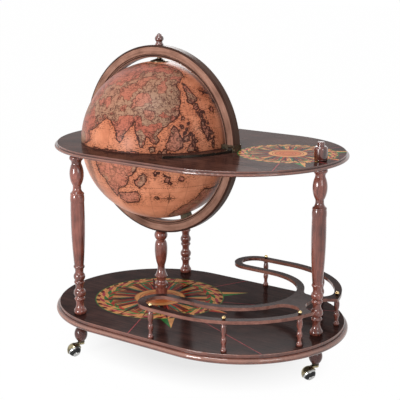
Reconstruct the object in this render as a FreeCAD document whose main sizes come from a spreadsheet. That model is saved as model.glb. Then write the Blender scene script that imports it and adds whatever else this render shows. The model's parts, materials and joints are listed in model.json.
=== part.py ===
import FreeCAD, Part
import math
import os
import Sketcher
from FreeCAD import Placement, Rotation, Vector

doc = FreeCAD.newDocument("globe_bar")
sheet = doc.addObject("Spreadsheet::Sheet", "Size")
nodes = []

# Driving dimensions, in millimetres, and angles, in degrees
SIZES = {
    # globe and its ring
    "globe_radius": 250.0,
    "shell_wall": 6.0,
    "lid_gap": 0.5,
    "ring_gap": 12.0,
    "ring_depth": 38.0,
    "ring_thickness": 32.0,
    "shoe_height": 14.0,
    "shoe_overhang": 1.0,
    "block_length": 26.0,
    "block_angle": 24.0,
    "cap_radius": 28.5,
    "cap_rim": 2.0,
    "cap_rise": 7.0,
    "cap_stem_radius": 7.0,
    "finial_height": 36.0,
    "finial_radius": 14.2,
    "finial_pin_radius": 3.0,
    "finial_pin_length": 24.0,
    # bar inside the globe
    "bottle_grip": 94.0,
    "insert_thickness": 16.0,
    "bottle_radius": 45.0,
    "bottle_circle": 100.0,
    "glass_radius": 32.0,
    "glass_inset": 72.0,
    "glass_recess": 10.0,
    "floor_rise": 54.0,
    "floor_thickness": 8.0,
    # table top and lower shelf
    "table_margin": 84.0,
    "centre_spread": 302.0,
    "table_lip": 8.0,
    "table_step": 6.0,
    "table_inset": 8.0,
    "shelf_lip": 18.0,
    "shelf_step": 10.0,
    "shelf_inset": 10.0,
    "shelf_reach": 13.0,
    # legs, pedestal and their rods
    "leg_length": 515.0,
    "leg_radius": 22.0,
    "leg_inset": 38.0,
    "leg_angle": 111.4,
    "right_leg_inset": 48.0,
    "rod_radius": 4.0,
    "rod_cover": 6.0,
    "knob_height": 55.0,
    "knob_radius": 19.5,
    "knob_bite": 24.0,
    "pedestal_radius": 20.5,
    "pedestal_tenon_radius": 10.0,
    "pedestal_tenon_length": 16.0,
    "dowel_radius": 5.0,
    "dowel_length": 36.0,
    # gallery rail
    "rail_height": 88.0,
    "rail_thickness": 10.0,
    "rail_inset": 10.0,
    "rail_width": 138.0,
    "rail_strand": 23.0,
    "rail_straight": 101.0,
    "rail_slot_angle": 23.5,
    "notch_radius": 73.0,
    "notch_offset": 45.0,
    "baluster_radius": 8.6,
    "baluster_start": 95.0,
    "baluster_middle_angle": 62.6,
    "baluster_end_angle": 20.3,
    "baluster_tenon_radius": 4.0,
    "baluster_tenon_length": 12.0,
    "ball_radius": 6.0,
    "ball_shank_radius": 2.0,
    "ball_shank_bite": 14.0,
    # lid hinge
    "hinge_reach": 12.0,
    "hinge_rise": 9.0,
    "knuckle_radius": 5.0,
    "knuckle_length": 18.0,
    "lid_knuckle_length": 23.4,
    "hinge_pin_radius": 2.5,
    "leaf_depth": 38.0,
    "leaf_thickness": 3.0,
    "strap_height": 40.0,
    "strap_thickness": 2.5,
    "screw_radius": 1.6,
    "screw_length": 10.0,
    "screw_head_radius": 3.4,
    "screw_head_height": 1.4,
    # lid stay
    "stay_gap": 0.4,
    "stay_offset": 62.0,
    "stay_width": 14.0,
    "stay_height": 7.0,
    "stay_taper": 12.0,
    "stay_start_angle": 9.0,
    "stay_sweep_angle": 41.0,
    "stay_pivot_rise": 8.0,
    "stay_eye_radius": 7.5,
    "stay_pin_radius": 2.0,
    "ear_thickness": 4.0,
    "ear_gap": 0.4,
    "ear_height": 15.0,
    "bracket_depth": 14.0,
    # feet and casters
    "bun_height": 61.0,
    "bun_radius": 20.5,
    "socket_flange": 6.0,
    "socket_flange_radius": 11.0,
    "sleeve_wall": 2.0,
    "sleeve_length": 30.0,
    "stem_radius": 5.0,
    "stem_length": 34.0,
    "swivel_flange_radius": 10.5,
    "swivel_flange": 5.0,
    "caster_trail": 25.0,
    "wheel_radius": 20.0,
    "hood_gap": 1.2,
    "hood_wall": 1.8,
    "hood_dip": 2.0,
    "arm_width": 14.0,
    "axle_radius": 2.4,
    "axle_lean": 50.0,
    "caster_heading": 72.0,
    # clearances
    "seat_gap": 0.05,
    "hole_gap": 0.1,
    "rim_gap": 0.2,
    "running_gap": 0.3,
    "cut_overrun": 1.0,
}


class Length:
    """A size or an angle, with the formula that ties it to the sheet."""

    def __init__(self, value, formula):
        self.value = value
        self.formula = formula

    def __add__(self, other):
        return Length(self.value + other.value, f"({self.formula} + {other.formula})")

    def __sub__(self, other):
        return Length(self.value - other.value, f"({self.formula} - {other.formula})")

    def __neg__(self):
        return Length(-self.value, f"(0 - {self.formula})")

    def __mul__(self, share):
        return Length(self.value * share, f"({self.formula} * {share})")

    __rmul__ = __mul__


def by_value(length):
    return length.value


ZERO = Length(0, "0")
TURN = 360
HALF_TURN = 180
QUARTER_TURN = 90
X_AXIS = Vector(1, 0, 0)
Y_AXIS = Vector(0, 1, 0)
Z_AXIS = Vector(0, 0, 1)
UPRIGHT = Rotation()
ALONG_X = Rotation(Y_AXIS, QUARTER_TURN)
ALONG_Y = Rotation(X_AXIS, -QUARTER_TURN)


class Sizes:
    """The cells of the sheet, by name."""


size = Sizes()
for row, (name, number) in enumerate(SIZES.items(), start=1):
    sheet.set(f"A{row}", name)
    sheet.set(f"B{row}", str(number))
    sheet.setAlias(f"B{row}", name)
    setattr(size, name, Length(number, f"Size.{name}"))
doc.recompute()


def cosine(radius, angle):
    return Length(
        radius.value * math.cos(math.radians(angle.value)),
        f"({radius.formula} * cos({angle.formula}))",
    )


def sine(radius, angle):
    return Length(
        radius.value * math.sin(math.radians(angle.value)),
        f"({radius.formula} * sin({angle.formula}))",
    )


def bind(thing, **sizes):
    for name, length in sizes.items():
        thing.setExpression(name, length.formula)


def place(thing, at, turn=UPRIGHT):
    thing.Placement = Placement(Vector(*(length.value for length in at)), turn)
    for axis, length in zip("xyz", at):
        thing.setExpression(f"Placement.Base.{axis}", length.formula)


# Part primitives and booleans

def box(name, low, high):
    thing = doc.addObject("Part::Box", name)
    bind(thing, Length=high[0] - low[0], Width=high[1] - low[1], Height=high[2] - low[2])
    place(thing, low)
    return thing


def cylinder(name, radius, height, at, turn=UPRIGHT, sweep=None):
    thing = doc.addObject("Part::Cylinder", name)
    bind(thing, Radius=radius, Height=height)
    if sweep is not None:
        bind(thing, Angle=sweep)
    place(thing, at, turn)
    return thing


def cone(name, low_radius, high_radius, height, at):
    thing = doc.addObject("Part::Cone", name)
    bind(thing, Radius1=low_radius, Radius2=high_radius, Height=height)
    place(thing, at)
    return thing


def sphere(name, radius, at, low=-QUARTER_TURN, high=QUARTER_TURN, turn=UPRIGHT):
    thing = doc.addObject("Part::Sphere", name)
    bind(thing, Radius=radius)
    thing.Angle1 = low
    thing.Angle2 = high
    place(thing, at, turn)
    return thing


def fuse(name, *pieces):
    thing = doc.addObject("Part::MultiFuse", name)
    thing.Shapes = list(pieces)
    thing.Refine = True
    return thing


def cut(name, base, *tools):
    thing = doc.addObject("Part::Cut", name)
    thing.Base = base
    thing.Tool = tools[0] if len(tools) == 1 else fuse(f"{name}_tools", *tools)
    return thing


def common(name, base, tool):
    thing = doc.addObject("Part::Common", name)
    thing.Base = base
    thing.Tool = tool
    return thing


def group(name, pieces):
    thing = doc.addObject("Part::Compound", name)
    thing.Links = list(pieces)
    return thing


def node(label, thing):
    thing.Label = label
    nodes.append(thing)
    return thing


# PartDesign sketches

def origin_plane(body, role):
    return next(plane for plane in body.Origin.OriginFeatures if plane.Role == role)


def new_sketch(body, name, role, height=ZERO):
    sketch = body.newObject("Sketcher::SketchObject", name)
    sketch.AttachmentSupport = [(origin_plane(body, role), "")]
    sketch.MapMode = "FlatFace"
    sketch.AttachmentOffset = Placement(Vector(0, 0, height.value), UPRIGHT)
    sketch.setExpression("AttachmentOffset.Base.z", height.formula)
    return sketch


def hold(sketch, geometry, point, across, along):
    """Fixes a point of the sketch at its distances from the origin."""
    for kind, length, axis in (("DistanceX", across, -2), ("DistanceY", along, -1)):
        if length is ZERO:
            sketch.addConstraint(Sketcher.Constraint("PointOnObject", geometry, point, axis))
            continue
        held = sketch.addConstraint(Sketcher.Constraint(kind, -1, 1, geometry, point, length.value))
        sketch.setExpression(f"Constraints[{held}]", length.formula)


def outline_sketch(body, name, role, corners):
    """A closed outline of lines and arcs: each corner is across, along, and the bulge of what follows it."""
    sketch = new_sketch(body, name, role)
    ends = []
    arcs = []
    for index, (across, along, bulge) in enumerate(corners):
        next_across, next_along, _ = corners[(index + 1) % len(corners)]
        start = Vector(across.value, along.value, 0)
        finish = Vector(next_across.value, next_along.value, 0)
        if bulge == 0:
            line = sketch.addGeometry(Part.LineSegment(start, finish))
            ends.append((line, 1, 2))
            continue
        crown = (
            (across + next_across) * 0.5 + (next_along - along) * bulge,
            (along + next_along) * 0.5 - (next_across - across) * bulge,
        )
        middle = Vector(crown[0].value, crown[1].value, 0)
        turns_left = bulge > 0
        first, last = (start, finish) if turns_left else (finish, start)
        arc = sketch.addGeometry(Part.Arc(first, middle, last))
        ends.append((arc, 1, 2) if turns_left else (arc, 2, 1))
        arcs.append((arc, crown, middle))
    for index, (geometry, start_point, end_point) in enumerate(ends):
        next_geometry, next_start, _ = ends[(index + 1) % len(ends)]
        joint = Sketcher.Constraint("Coincident", geometry, end_point, next_geometry, next_start)
        sketch.addConstraint(joint)
        hold(sketch, geometry, start_point, corners[index][0], corners[index][1])
    for arc, crown, middle in arcs:
        mark = sketch.addGeometry(Part.Point(middle), True)
        sketch.addConstraint(Sketcher.Constraint("PointOnObject", mark, 1, arc))
        hold(sketch, mark, 1, *crown)
    return sketch


def profile(shares, height, radius, base=ZERO):
    """Corners of a turned profile from shares of its height and radius."""
    return [
        (radius * radius_share, height * height_share + base, bulge_share)
        for height_share, radius_share, bulge_share in shares
    ]


def turned(name, corners, at, bore=ZERO):
    """A piece turned about the upright axis, solid or bored right through."""
    body = doc.addObject("PartDesign::Body", name)
    bottom = corners[0][1]
    top = corners[-1][1]
    outline = [(bore, bottom, 0)] + corners + [(bore, top, 0)]
    sketch = outline_sketch(body, f"{name}_outline", "XZ_Plane", outline)
    turning = body.newObject("PartDesign::Revolution", f"{name}_turning")
    turning.Profile = sketch
    turning.ReferenceAxis = (sketch, ["V_Axis"])
    turning.Angle = TURN
    place(body, at)
    return body


def stadium_sketch(body, name, radius, spread, height=ZERO):
    """Two half circles joined by straight sides."""
    sketch = new_sketch(body, name, "XY_Plane", height)
    half = spread.value / 2
    circles = [Part.Circle(Vector(x, 0, 0), Z_AXIS, radius.value) for x in (-half, half)]
    quarter = math.pi / 2
    left = sketch.addGeometry(Part.ArcOfCircle(circles[0], quarter, 3 * quarter))
    right = sketch.addGeometry(Part.ArcOfCircle(circles[1], -quarter, quarter))
    low = [Vector(x, -radius.value, 0) for x in (-half, half)]
    high = [Vector(x, radius.value, 0) for x in (half, -half)]
    front = sketch.addGeometry(Part.LineSegment(*low))
    rear = sketch.addGeometry(Part.LineSegment(*high))
    for first, first_end, second, second_end in (
        (left, 2, front, 1),
        (front, 2, right, 1),
        (right, 2, rear, 1),
        (rear, 2, left, 1),
    ):
        sketch.addConstraint(Sketcher.Constraint("Tangent", first, first_end, second, second_end))
    sketch.addConstraint(Sketcher.Constraint("Equal", left, right))
    held = sketch.addConstraint(Sketcher.Constraint("Radius", left, radius.value))
    sketch.setExpression(f"Constraints[{held}]", radius.formula)
    hold(sketch, left, 3, -(spread * 0.5), ZERO)
    hold(sketch, right, 3, spread * 0.5, ZERO)
    return sketch


def round_flat_edges(body, name, base, height, radius):
    """Rounds the level edges of a feature that lie at a height."""
    doc.recompute()
    edges = [
        f"Edge{number}"
        for number, edge in enumerate(base.Shape.Edges, start=1)
        if abs(edge.BoundBox.ZMin - height.value) < size.seat_gap.value
        and abs(edge.BoundBox.ZMax - height.value) < size.seat_gap.value
    ]
    rounding = body.newObject("PartDesign::Fillet", name)
    rounding.Base = (base, edges)
    bind(rounding, Radius=radius)
    return rounding


bullnose_share = 0.46
arris_share = 0.25


def moulded_board(name, at, spread, lip, step, inset):
    """A stadium board with a rounded lower lip and a narrower step on it."""
    body = doc.addObject("PartDesign::Body", name)
    lower = body.newObject("PartDesign::Pad", f"{name}_lip")
    lower.Profile = stadium_sketch(body, f"{name}_lip_outline", outline_radius, spread)
    bind(lower, Length=lip)
    below = round_flat_edges(body, f"{name}_lip_below", lower, ZERO, lip * bullnose_share)
    above = round_flat_edges(body, f"{name}_lip_above", below, lip, lip * bullnose_share)
    upper = body.newObject("PartDesign::Pad", f"{name}_step")
    upper.Profile = stadium_sketch(body, f"{name}_step_outline", outline_radius - inset, spread, lip)
    bind(upper, Length=step)
    body.Tip = upper
    round_flat_edges(body, f"{name}_step_edge", upper, lip + step, step * arris_share)
    place(body, at)
    return body


# Places that the pieces share
outline_radius = size.globe_radius + size.table_margin
globe_x = -(size.centre_spread * 0.5)
rail_x = size.centre_spread * 0.5
hood_radius = size.wheel_radius + size.hood_gap + size.hood_wall
swivel_top = size.wheel_radius + hood_radius - size.hood_dip
socket_bottom = swivel_top + size.running_gap
bun_bottom = socket_bottom + size.socket_flange
shelf_bottom = bun_bottom + size.bun_height
shelf_top = shelf_bottom + size.shelf_lip + size.shelf_step
table_bottom = shelf_top + size.leg_length
table_thickness = size.table_lip + size.table_step
table_top = table_bottom + table_thickness
globe_centre = (globe_x, ZERO, table_top)
ring_inner = size.globe_radius + size.ring_gap
ring_outer = ring_inner + size.ring_depth
shell_inner = size.globe_radius - size.shell_wall
floor_depth = shell_inner - size.floor_rise
insert_depth = floor_depth - size.bottle_grip
glass_circle = shell_inner - size.glass_inset
half_ring = size.ring_thickness * 0.5
leg_circle = outline_radius - size.leg_inset
left_leg_x = globe_x + cosine(leg_circle, size.leg_angle)
left_leg_y = sine(leg_circle, size.leg_angle)
right_leg_x = rail_x + outline_radius - size.right_leg_inset
leg_places = {
    "front_left": (left_leg_x, -left_leg_y),
    "rear_left": (left_leg_x, left_leg_y),
    "right": (right_leg_x, ZERO),
}
rod_hole = size.rod_radius + size.hole_gap
rod_bottom = bun_bottom + size.sleeve_length + size.rod_cover
rod_tops = {
    "front_left": table_top - size.rod_cover,
    "rear_left": table_top - size.rod_cover,
    "right": table_top + size.knob_bite,
}
rail_bottom = shelf_top + size.rail_height
rail_top = rail_bottom + size.rail_thickness
rail_outer = outline_radius - size.rail_inset
rail_inner = rail_outer - size.rail_width
slot_outer = rail_outer - size.rail_strand
slot_inner = rail_inner + size.rail_strand
slot_middle = (slot_outer + slot_inner) * 0.5
slot_radius = (slot_outer - slot_inner) * 0.5
rail_end_x = rail_x - size.rail_straight
baluster_circle = (rail_outer + slot_outer) * 0.5
baluster_places = []
for side, sign in (("front", -1), ("rear", 1)):
    baluster_places += [
        (f"{side}_1", rail_x - size.baluster_start, baluster_circle * sign),
        (
            f"{side}_2",
            rail_x + cosine(baluster_circle, size.baluster_middle_angle),
            sine(baluster_circle, size.baluster_middle_angle) * sign,
        ),
        (
            f"{side}_3",
            rail_x + cosine(baluster_circle, size.baluster_end_angle),
            sine(baluster_circle, size.baluster_end_angle) * sign,
        ),
    ]
hinge_y = size.globe_radius + size.hinge_reach
hinge_z = table_top + size.hinge_rise
hinge_half = size.lid_knuckle_length * 0.5 + size.running_gap + size.knuckle_length
stay_circle = size.globe_radius + size.stay_offset
stay_pivot = (
    globe_x + cosine(stay_circle, size.stay_start_angle),
    -sine(stay_circle, size.stay_start_angle),
    table_top + size.stay_pivot_rise,
)
ear_inside = size.stay_width * 0.5 + size.ear_gap
ear_outside = ear_inside + size.ear_thickness
bracket_front = stay_pivot[1] + size.stay_eye_radius + size.cut_overrun
bracket_rear = bracket_front + size.bracket_depth
leaf_front = hinge_y - size.knuckle_radius * 0.5
leaf_rear = hinge_y + size.leaf_depth
screw_places = []
leaf_screw_depth_shares = (0.45, 0.8)
leaf_screw_across_share = 0.7
for sign in (-1, 1):
    for share in leaf_screw_depth_shares:
        across = hinge_half * leaf_screw_across_share
        screw_places.append((globe_x + across * sign, hinge_y + size.leaf_depth * share))
for sign in (-1, 1):
    across = ear_inside * 0.5
    screw_places.append((stay_pivot[0] + across * sign, (bracket_front + bracket_rear) * 0.5))


def screw_holes(name, at_z, depth):
    return [
        cylinder(f"{name}_screw_hole", size.screw_radius + size.seat_gap, depth, (x, y, at_z))
        for x, y in screw_places
    ]


# Boards

def make_table_top():
    board = moulded_board(
        "table_board",
        (ZERO, ZERO, table_bottom),
        size.centre_spread,
        size.table_lip,
        size.table_step,
        size.table_inset,
    )
    below = table_bottom - size.cut_overrun
    through = table_thickness + size.cut_overrun * 2
    tools = [
        cylinder("table_globe_hole", size.globe_radius + size.rim_gap, through, (globe_x, ZERO, below))
    ]
    for leg, (x, y) in leg_places.items():
        depth = rod_tops[leg] - below + size.hole_gap
        tools.append(cylinder("table_rod_hole", rod_hole, depth, (x, y, below)))
    screw_start = table_top - size.screw_length - size.hole_gap
    tools += screw_holes("table", screw_start, size.screw_length + size.cut_overrun)
    node("table_top", cut("table_cut", board, *tools))


def make_lower_shelf():
    board = moulded_board(
        "shelf_board",
        (ZERO, ZERO, shelf_bottom),
        size.centre_spread + size.shelf_reach * 2,
        size.shelf_lip,
        size.shelf_step,
        size.shelf_inset,
    )
    below = shelf_bottom - size.cut_overrun
    through = size.shelf_lip + size.shelf_step + size.cut_overrun * 2
    tools = [cylinder("shelf_rod_hole", rod_hole, through, (x, y, below)) for x, y in leg_places.values()]
    tenon_hole = size.pedestal_tenon_radius + size.hole_gap
    tenon_depth = size.pedestal_tenon_length + size.hole_gap
    tools.append(
        cylinder(
            "shelf_pedestal_hole",
            tenon_hole,
            tenon_depth + size.cut_overrun,
            (globe_x, ZERO, shelf_top - tenon_depth),
        )
    )
    peg_depth = size.baluster_tenon_length + size.hole_gap
    for _, x, y in baluster_places:
        tools.append(
            cylinder(
                "shelf_baluster_hole",
                size.baluster_tenon_radius + size.hole_gap,
                peg_depth + size.cut_overrun,
                (x, y, shelf_top - peg_depth),
            )
        )
    node("lower_shelf", cut("shelf_cut", board, *tools))


# Legs, pedestal, knob and rods

# height share, radius share and the bulge of what follows
leg_profile_shares = (
    (0.000, 0.78, 0.15),
    (0.030, 0.84, -0.12),
    (0.080, 0.59, 0),
    (0.088, 0.64, 0.25),
    (0.108, 0.64, 0),
    (0.112, 0.62, 0.22),
    (0.160, 0.60, -0.10),
    (0.194, 0.66, 0.25),
    (0.214, 0.66, 0),
    (0.216, 0.62, 0.20),
    (0.262, 0.62, -0.08),
    (0.292, 0.68, 0.25),
    (0.312, 0.68, 0),
    (0.322, 0.70, 0.015),
    (0.700, 0.964, 0.04),
    (0.748, 0.95, 0.22),
    (0.764, 0.80, -0.10),
    (0.794, 0.58, 0),
    (0.804, 0.58, 0.115),
    (0.935, 0.70, -0.10),
    (0.957, 0.80, 0.25),
    (0.985, 0.82, 0),
    (1.000, 0.88, 0),
)


def make_legs():
    corners = profile(leg_profile_shares, size.leg_length, size.leg_radius)
    for leg, (x, y) in leg_places.items():
        node(f"leg_{leg}", turned(f"leg_{leg}_post", corners, (x, y, shelf_top), rod_hole))


def make_tie_rods():
    rods = [
        cylinder(f"rod_{leg}", size.rod_radius, rod_tops[leg] - rod_bottom, (x, y, rod_bottom))
        for leg, (x, y) in leg_places.items()
    ]
    node("tie_rods", group("rods", rods))


knob_profile_shares = (
    (0.00, 0.90, 0.10),
    (0.08, 0.96, 0.02),
    (0.58, 1.00, 0.10),
    (0.73, 0.88, 0.20),
    (0.77, 0.54, 0),
    (0.94, 0.52, 0.20),
    (1.00, 0.42, 0),
)


def make_leg_finial():
    corners = profile(knob_profile_shares, size.knob_height, size.knob_radius)
    x, y = leg_places["right"]
    solid = turned("knob", corners, (x, y, table_top))
    hole = cylinder(
        "knob_hole",
        rod_hole,
        size.knob_bite + size.hole_gap + size.cut_overrun,
        (x, y, table_top - size.cut_overrun),
    )
    node("leg_finial", cut("knob_cut", solid, hole))


pedestal_profile_shares = (
    (0.000, 0.95, 0),
    (0.165, 0.95, 0),
    (0.172, 0.82, 0),
    (0.185, 0.84, 0.28),
    (0.245, 0.84, 0),
    (0.250, 0.78, -0.18),
    (0.325, 0.97, 0.20),
    (0.345, 0.97, -0.08),
    (0.500, 0.60, 0.055),
    (0.800, 0.97, 0.07),
    (0.866, 0.70, 0),
    (0.876, 0.72, 0.24),
    (1.000, 0.72, 0),
)


def tenoned(shares, height, radius, tenon_radius, tenon_length):
    """A turned profile with a round tenon below its foot."""
    tenon = [(tenon_radius, ZERO, 0), (tenon_radius, tenon_length, 0)]
    return tenon + profile(shares, height, radius, tenon_length)


def make_pedestal():
    height = table_top - ring_outer - shelf_top
    corners = tenoned(
        pedestal_profile_shares,
        height,
        size.pedestal_radius,
        size.pedestal_tenon_radius,
        size.pedestal_tenon_length,
    )
    post = turned("pedestal_post", corners, (globe_x, ZERO, shelf_top - size.pedestal_tenon_length))
    ring_bottom = table_top - ring_outer
    half_dowel = size.dowel_length * 0.5
    hole = cylinder(
        "pedestal_dowel_hole",
        size.dowel_radius + size.seat_gap,
        half_dowel + size.hole_gap + size.cut_overrun,
        (globe_x, ZERO, ring_bottom - half_dowel - size.hole_gap),
    )
    node("pedestal", cut("pedestal_cut", post, hole))
    dowel = cylinder("dowel", size.dowel_radius, size.dowel_length, (globe_x, ZERO, ring_bottom - half_dowel))
    node("pedestal_dowel", dowel)


# Meridian ring

# share of the depth from the inner edge, share of the thickness from the middle
ring_section_shares = (
    (0.00, 0.34),
    (0.06, 0.42),
    (0.16, 0.42),
    (0.19, 0.38),
    (0.25, 0.38),
    (0.28, 0.50),
    (0.90, 0.50),
    (1.00, 0.38),
)


def ring_half(name, is_upper):
    body = doc.addObject("PartDesign::Body", name)
    side = [
        (ring_inner + size.ring_depth * depth_share, size.ring_thickness * thickness_share)
        for depth_share, thickness_share in ring_section_shares
    ]
    corners = [(across, -along, 0) for across, along in side]
    corners += [(across, along, 0) for across, along in reversed(side)]
    sketch = outline_sketch(body, f"{name}_section", "XY_Plane", corners)
    turning = body.newObject("PartDesign::Revolution", f"{name}_turning")
    turning.Profile = sketch
    turning.ReferenceAxis = (sketch, ["V_Axis"])
    turning.Angle = HALF_TURN
    turning.Reversed = is_upper
    place(body, globe_centre)
    return body


def ring_trim(name, low, high):
    """Takes the ends of a half ring off between two heights."""
    reach = ring_outer + size.cut_overrun
    wide = half_ring + size.cut_overrun
    return box(name, (globe_x - reach, -wide, low), (globe_x + reach, wide, high))


def make_rings():
    lower = ring_half("lower_half_ring", False)
    half_dowel = size.dowel_length * 0.5
    dowel_hole = cylinder(
        "ring_dowel_hole",
        size.dowel_radius + size.seat_gap,
        half_dowel + size.hole_gap + size.cut_overrun,
        (globe_x, ZERO, table_top - ring_outer - size.cut_overrun),
    )
    lower_trim = ring_trim("lower_ring_trim", table_bottom, table_top + size.cut_overrun)
    node("ring_lower", cut("lower_ring_cut", lower, lower_trim, dowel_hole))
    upper = ring_half("upper_half_ring", True)
    ring_foot = table_top + size.lid_gap + size.shoe_height
    upper_trim = ring_trim("upper_ring_trim", table_top - size.cut_overrun, ring_foot)
    half_pin = size.finial_pin_length * 0.5
    pin_hole = cylinder(
        "ring_pin_hole",
        size.finial_pin_radius + size.seat_gap,
        half_pin + size.hole_gap + size.cut_overrun,
        (globe_x, ZERO, table_top + ring_outer - half_pin - size.hole_gap),
    )
    node("ring_upper", cut("upper_ring_cut", upper, upper_trim, pin_hole))


def make_ring_shoes():
    wide = half_ring + size.shoe_overhang
    low = table_top + size.lid_gap
    for side, sign in (("left", -1), ("right", 1)):
        ends = (size.globe_radius * sign, (ring_outer + size.shoe_overhang) * sign)
        near, far = sorted(ends, key=lambda length: length.value)
        solid = box(
            f"shoe_{side}_box",
            (globe_x + near, -wide, low),
            (globe_x + far, wide, low + size.shoe_height),
        )
        room = sphere(f"shoe_{side}_room", size.globe_radius + size.seat_gap, globe_centre)
        node(f"ring_shoe_{side}", cut(f"shoe_{side}_cut", solid, room))


def make_ring_blocks():
    half_length = size.block_length * 0.5
    wide = half_ring - size.shell_wall * 0.5
    for side, angle in (("left", size.block_angle), ("right", -size.block_angle)):
        solid = box(
            f"block_{side}_box", (-half_length, -wide, -ring_outer), (half_length, wide, -shell_inner)
        )
        drum = cylinder(
            f"block_{side}_drum",
            ring_inner - size.seat_gap,
            size.ring_thickness,
            (ZERO, -half_ring, ZERO),
            ALONG_Y,
        )
        room = sphere(f"block_{side}_room", size.globe_radius + size.seat_gap, (ZERO, ZERO, ZERO))
        fitted = cut(f"block_{side}_cut", common(f"block_{side}_common", solid, drum), room)
        place(fitted, globe_centre, Rotation(Y_AXIS, angle.value))
        fitted.setExpression("Placement.Rotation.Angle", angle.formula)
        node(f"ring_block_{side}", fitted)


finial_profile_shares = (
    (0.00, 0.90, 0.10),
    (0.12, 0.86, -0.14),
    (0.27, 0.70, -0.10),
    (0.37, 0.84, 0.12),
    (0.56, 0.98, 0.12),
    (0.80, 0.60, 0.10),
    (1.00, 0.14, 0),
)


def make_finial():
    corners = profile(finial_profile_shares, size.finial_height, size.finial_radius)
    ring_crown = table_top + ring_outer
    half_pin = size.finial_pin_length * 0.5
    solid = turned("finial_acorn", corners, (globe_x, ZERO, ring_crown))
    hole = cylinder(
        "finial_hole",
        size.finial_pin_radius + size.seat_gap,
        half_pin + size.hole_gap + size.cut_overrun,
        (globe_x, ZERO, ring_crown - size.cut_overrun),
    )
    node("finial", cut("finial_cut", solid, hole))
    pin = cylinder(
        "finial_dowel", size.finial_pin_radius, size.finial_pin_length, (globe_x, ZERO, ring_crown - half_pin)
    )
    node("finial_pin", pin)


cap_rim_share = 1.4
cap_neck_share = 1.3


def make_pole_cap():
    rim_bottom = table_top + size.globe_radius - size.cap_rim
    rim_top = rim_bottom + size.cap_rim * cap_rim_share
    stem_top = table_top + ring_inner - size.rim_gap
    rim = cylinder("cap_rim_disc", size.cap_radius, rim_top - rim_bottom, (globe_x, ZERO, rim_bottom))
    neck = size.cap_stem_radius * cap_neck_share
    slope = cone("cap_slope", size.cap_radius, neck, size.cap_rise, (globe_x, ZERO, rim_top))
    stem = cylinder("cap_stem", size.cap_stem_radius, stem_top - rim_top, (globe_x, ZERO, rim_top))
    room = sphere("cap_room", size.globe_radius + size.seat_gap, globe_centre)
    node("pole_cap", cut("cap_cut", fuse("cap_body", rim, slope, stem), room))


# Globe shells and the bar inside

def make_globe():
    lower_outside = sphere("lower_outside", size.globe_radius, globe_centre, -QUARTER_TURN, 0)
    lower_inside = sphere("lower_inside", shell_inner, globe_centre)
    node("globe_lower", cut("lower_shell", lower_outside, lower_inside))
    upper_outside = sphere("upper_outside", size.globe_radius, globe_centre, 0, QUARTER_TURN)
    upper_inside = sphere("upper_inside", shell_inner, globe_centre)
    reach = size.globe_radius + size.cut_overrun
    rim = cylinder(
        "upper_rim",
        reach,
        size.lid_gap + size.cut_overrun,
        (globe_x, ZERO, table_top - size.cut_overrun),
    )
    node("globe_upper", cut("upper_shell", upper_outside, upper_inside, rim))


def make_bar():
    room = sphere("insert_room", shell_inner - size.seat_gap, globe_centre)
    insert_bottom = table_top - insert_depth - size.insert_thickness
    plate = cylinder("insert_plate", size.globe_radius, size.insert_thickness, (globe_x, ZERO, insert_bottom))
    tools = []
    for quarter in range(4):
        bottle_turn = Length(45 + QUARTER_TURN * quarter, str(45 + QUARTER_TURN * quarter))
        glass_turn = Length(QUARTER_TURN * quarter, str(QUARTER_TURN * quarter))
        tools.append(
            cylinder(
                "bottle_hole",
                size.bottle_radius,
                size.insert_thickness + size.cut_overrun * 2,
                (
                    globe_x + cosine(size.bottle_circle, bottle_turn),
                    sine(size.bottle_circle, bottle_turn),
                    insert_bottom - size.cut_overrun,
                ),
            )
        )
        tools.append(
            cylinder(
                "glass_recess",
                size.glass_radius,
                size.glass_recess + size.cut_overrun,
                (
                    globe_x + cosine(glass_circle, glass_turn),
                    sine(glass_circle, glass_turn),
                    table_top - insert_depth - size.glass_recess,
                ),
            )
        )
    node("bar_insert", cut("insert_cut", common("insert_disc", plate, room), *tools))
    floor_room = sphere("floor_room", shell_inner - size.seat_gap, globe_centre)
    floor_plate = cylinder(
        "floor_plate",
        size.globe_radius,
        size.floor_thickness,
        (globe_x, ZERO, table_top - floor_depth - size.floor_thickness),
    )
    node("bottle_floor", common("floor_disc", floor_plate, floor_room))


# Lid hinge and screws

lid_arm_share = 0.9
screw_crown_share = 0.6


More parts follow.
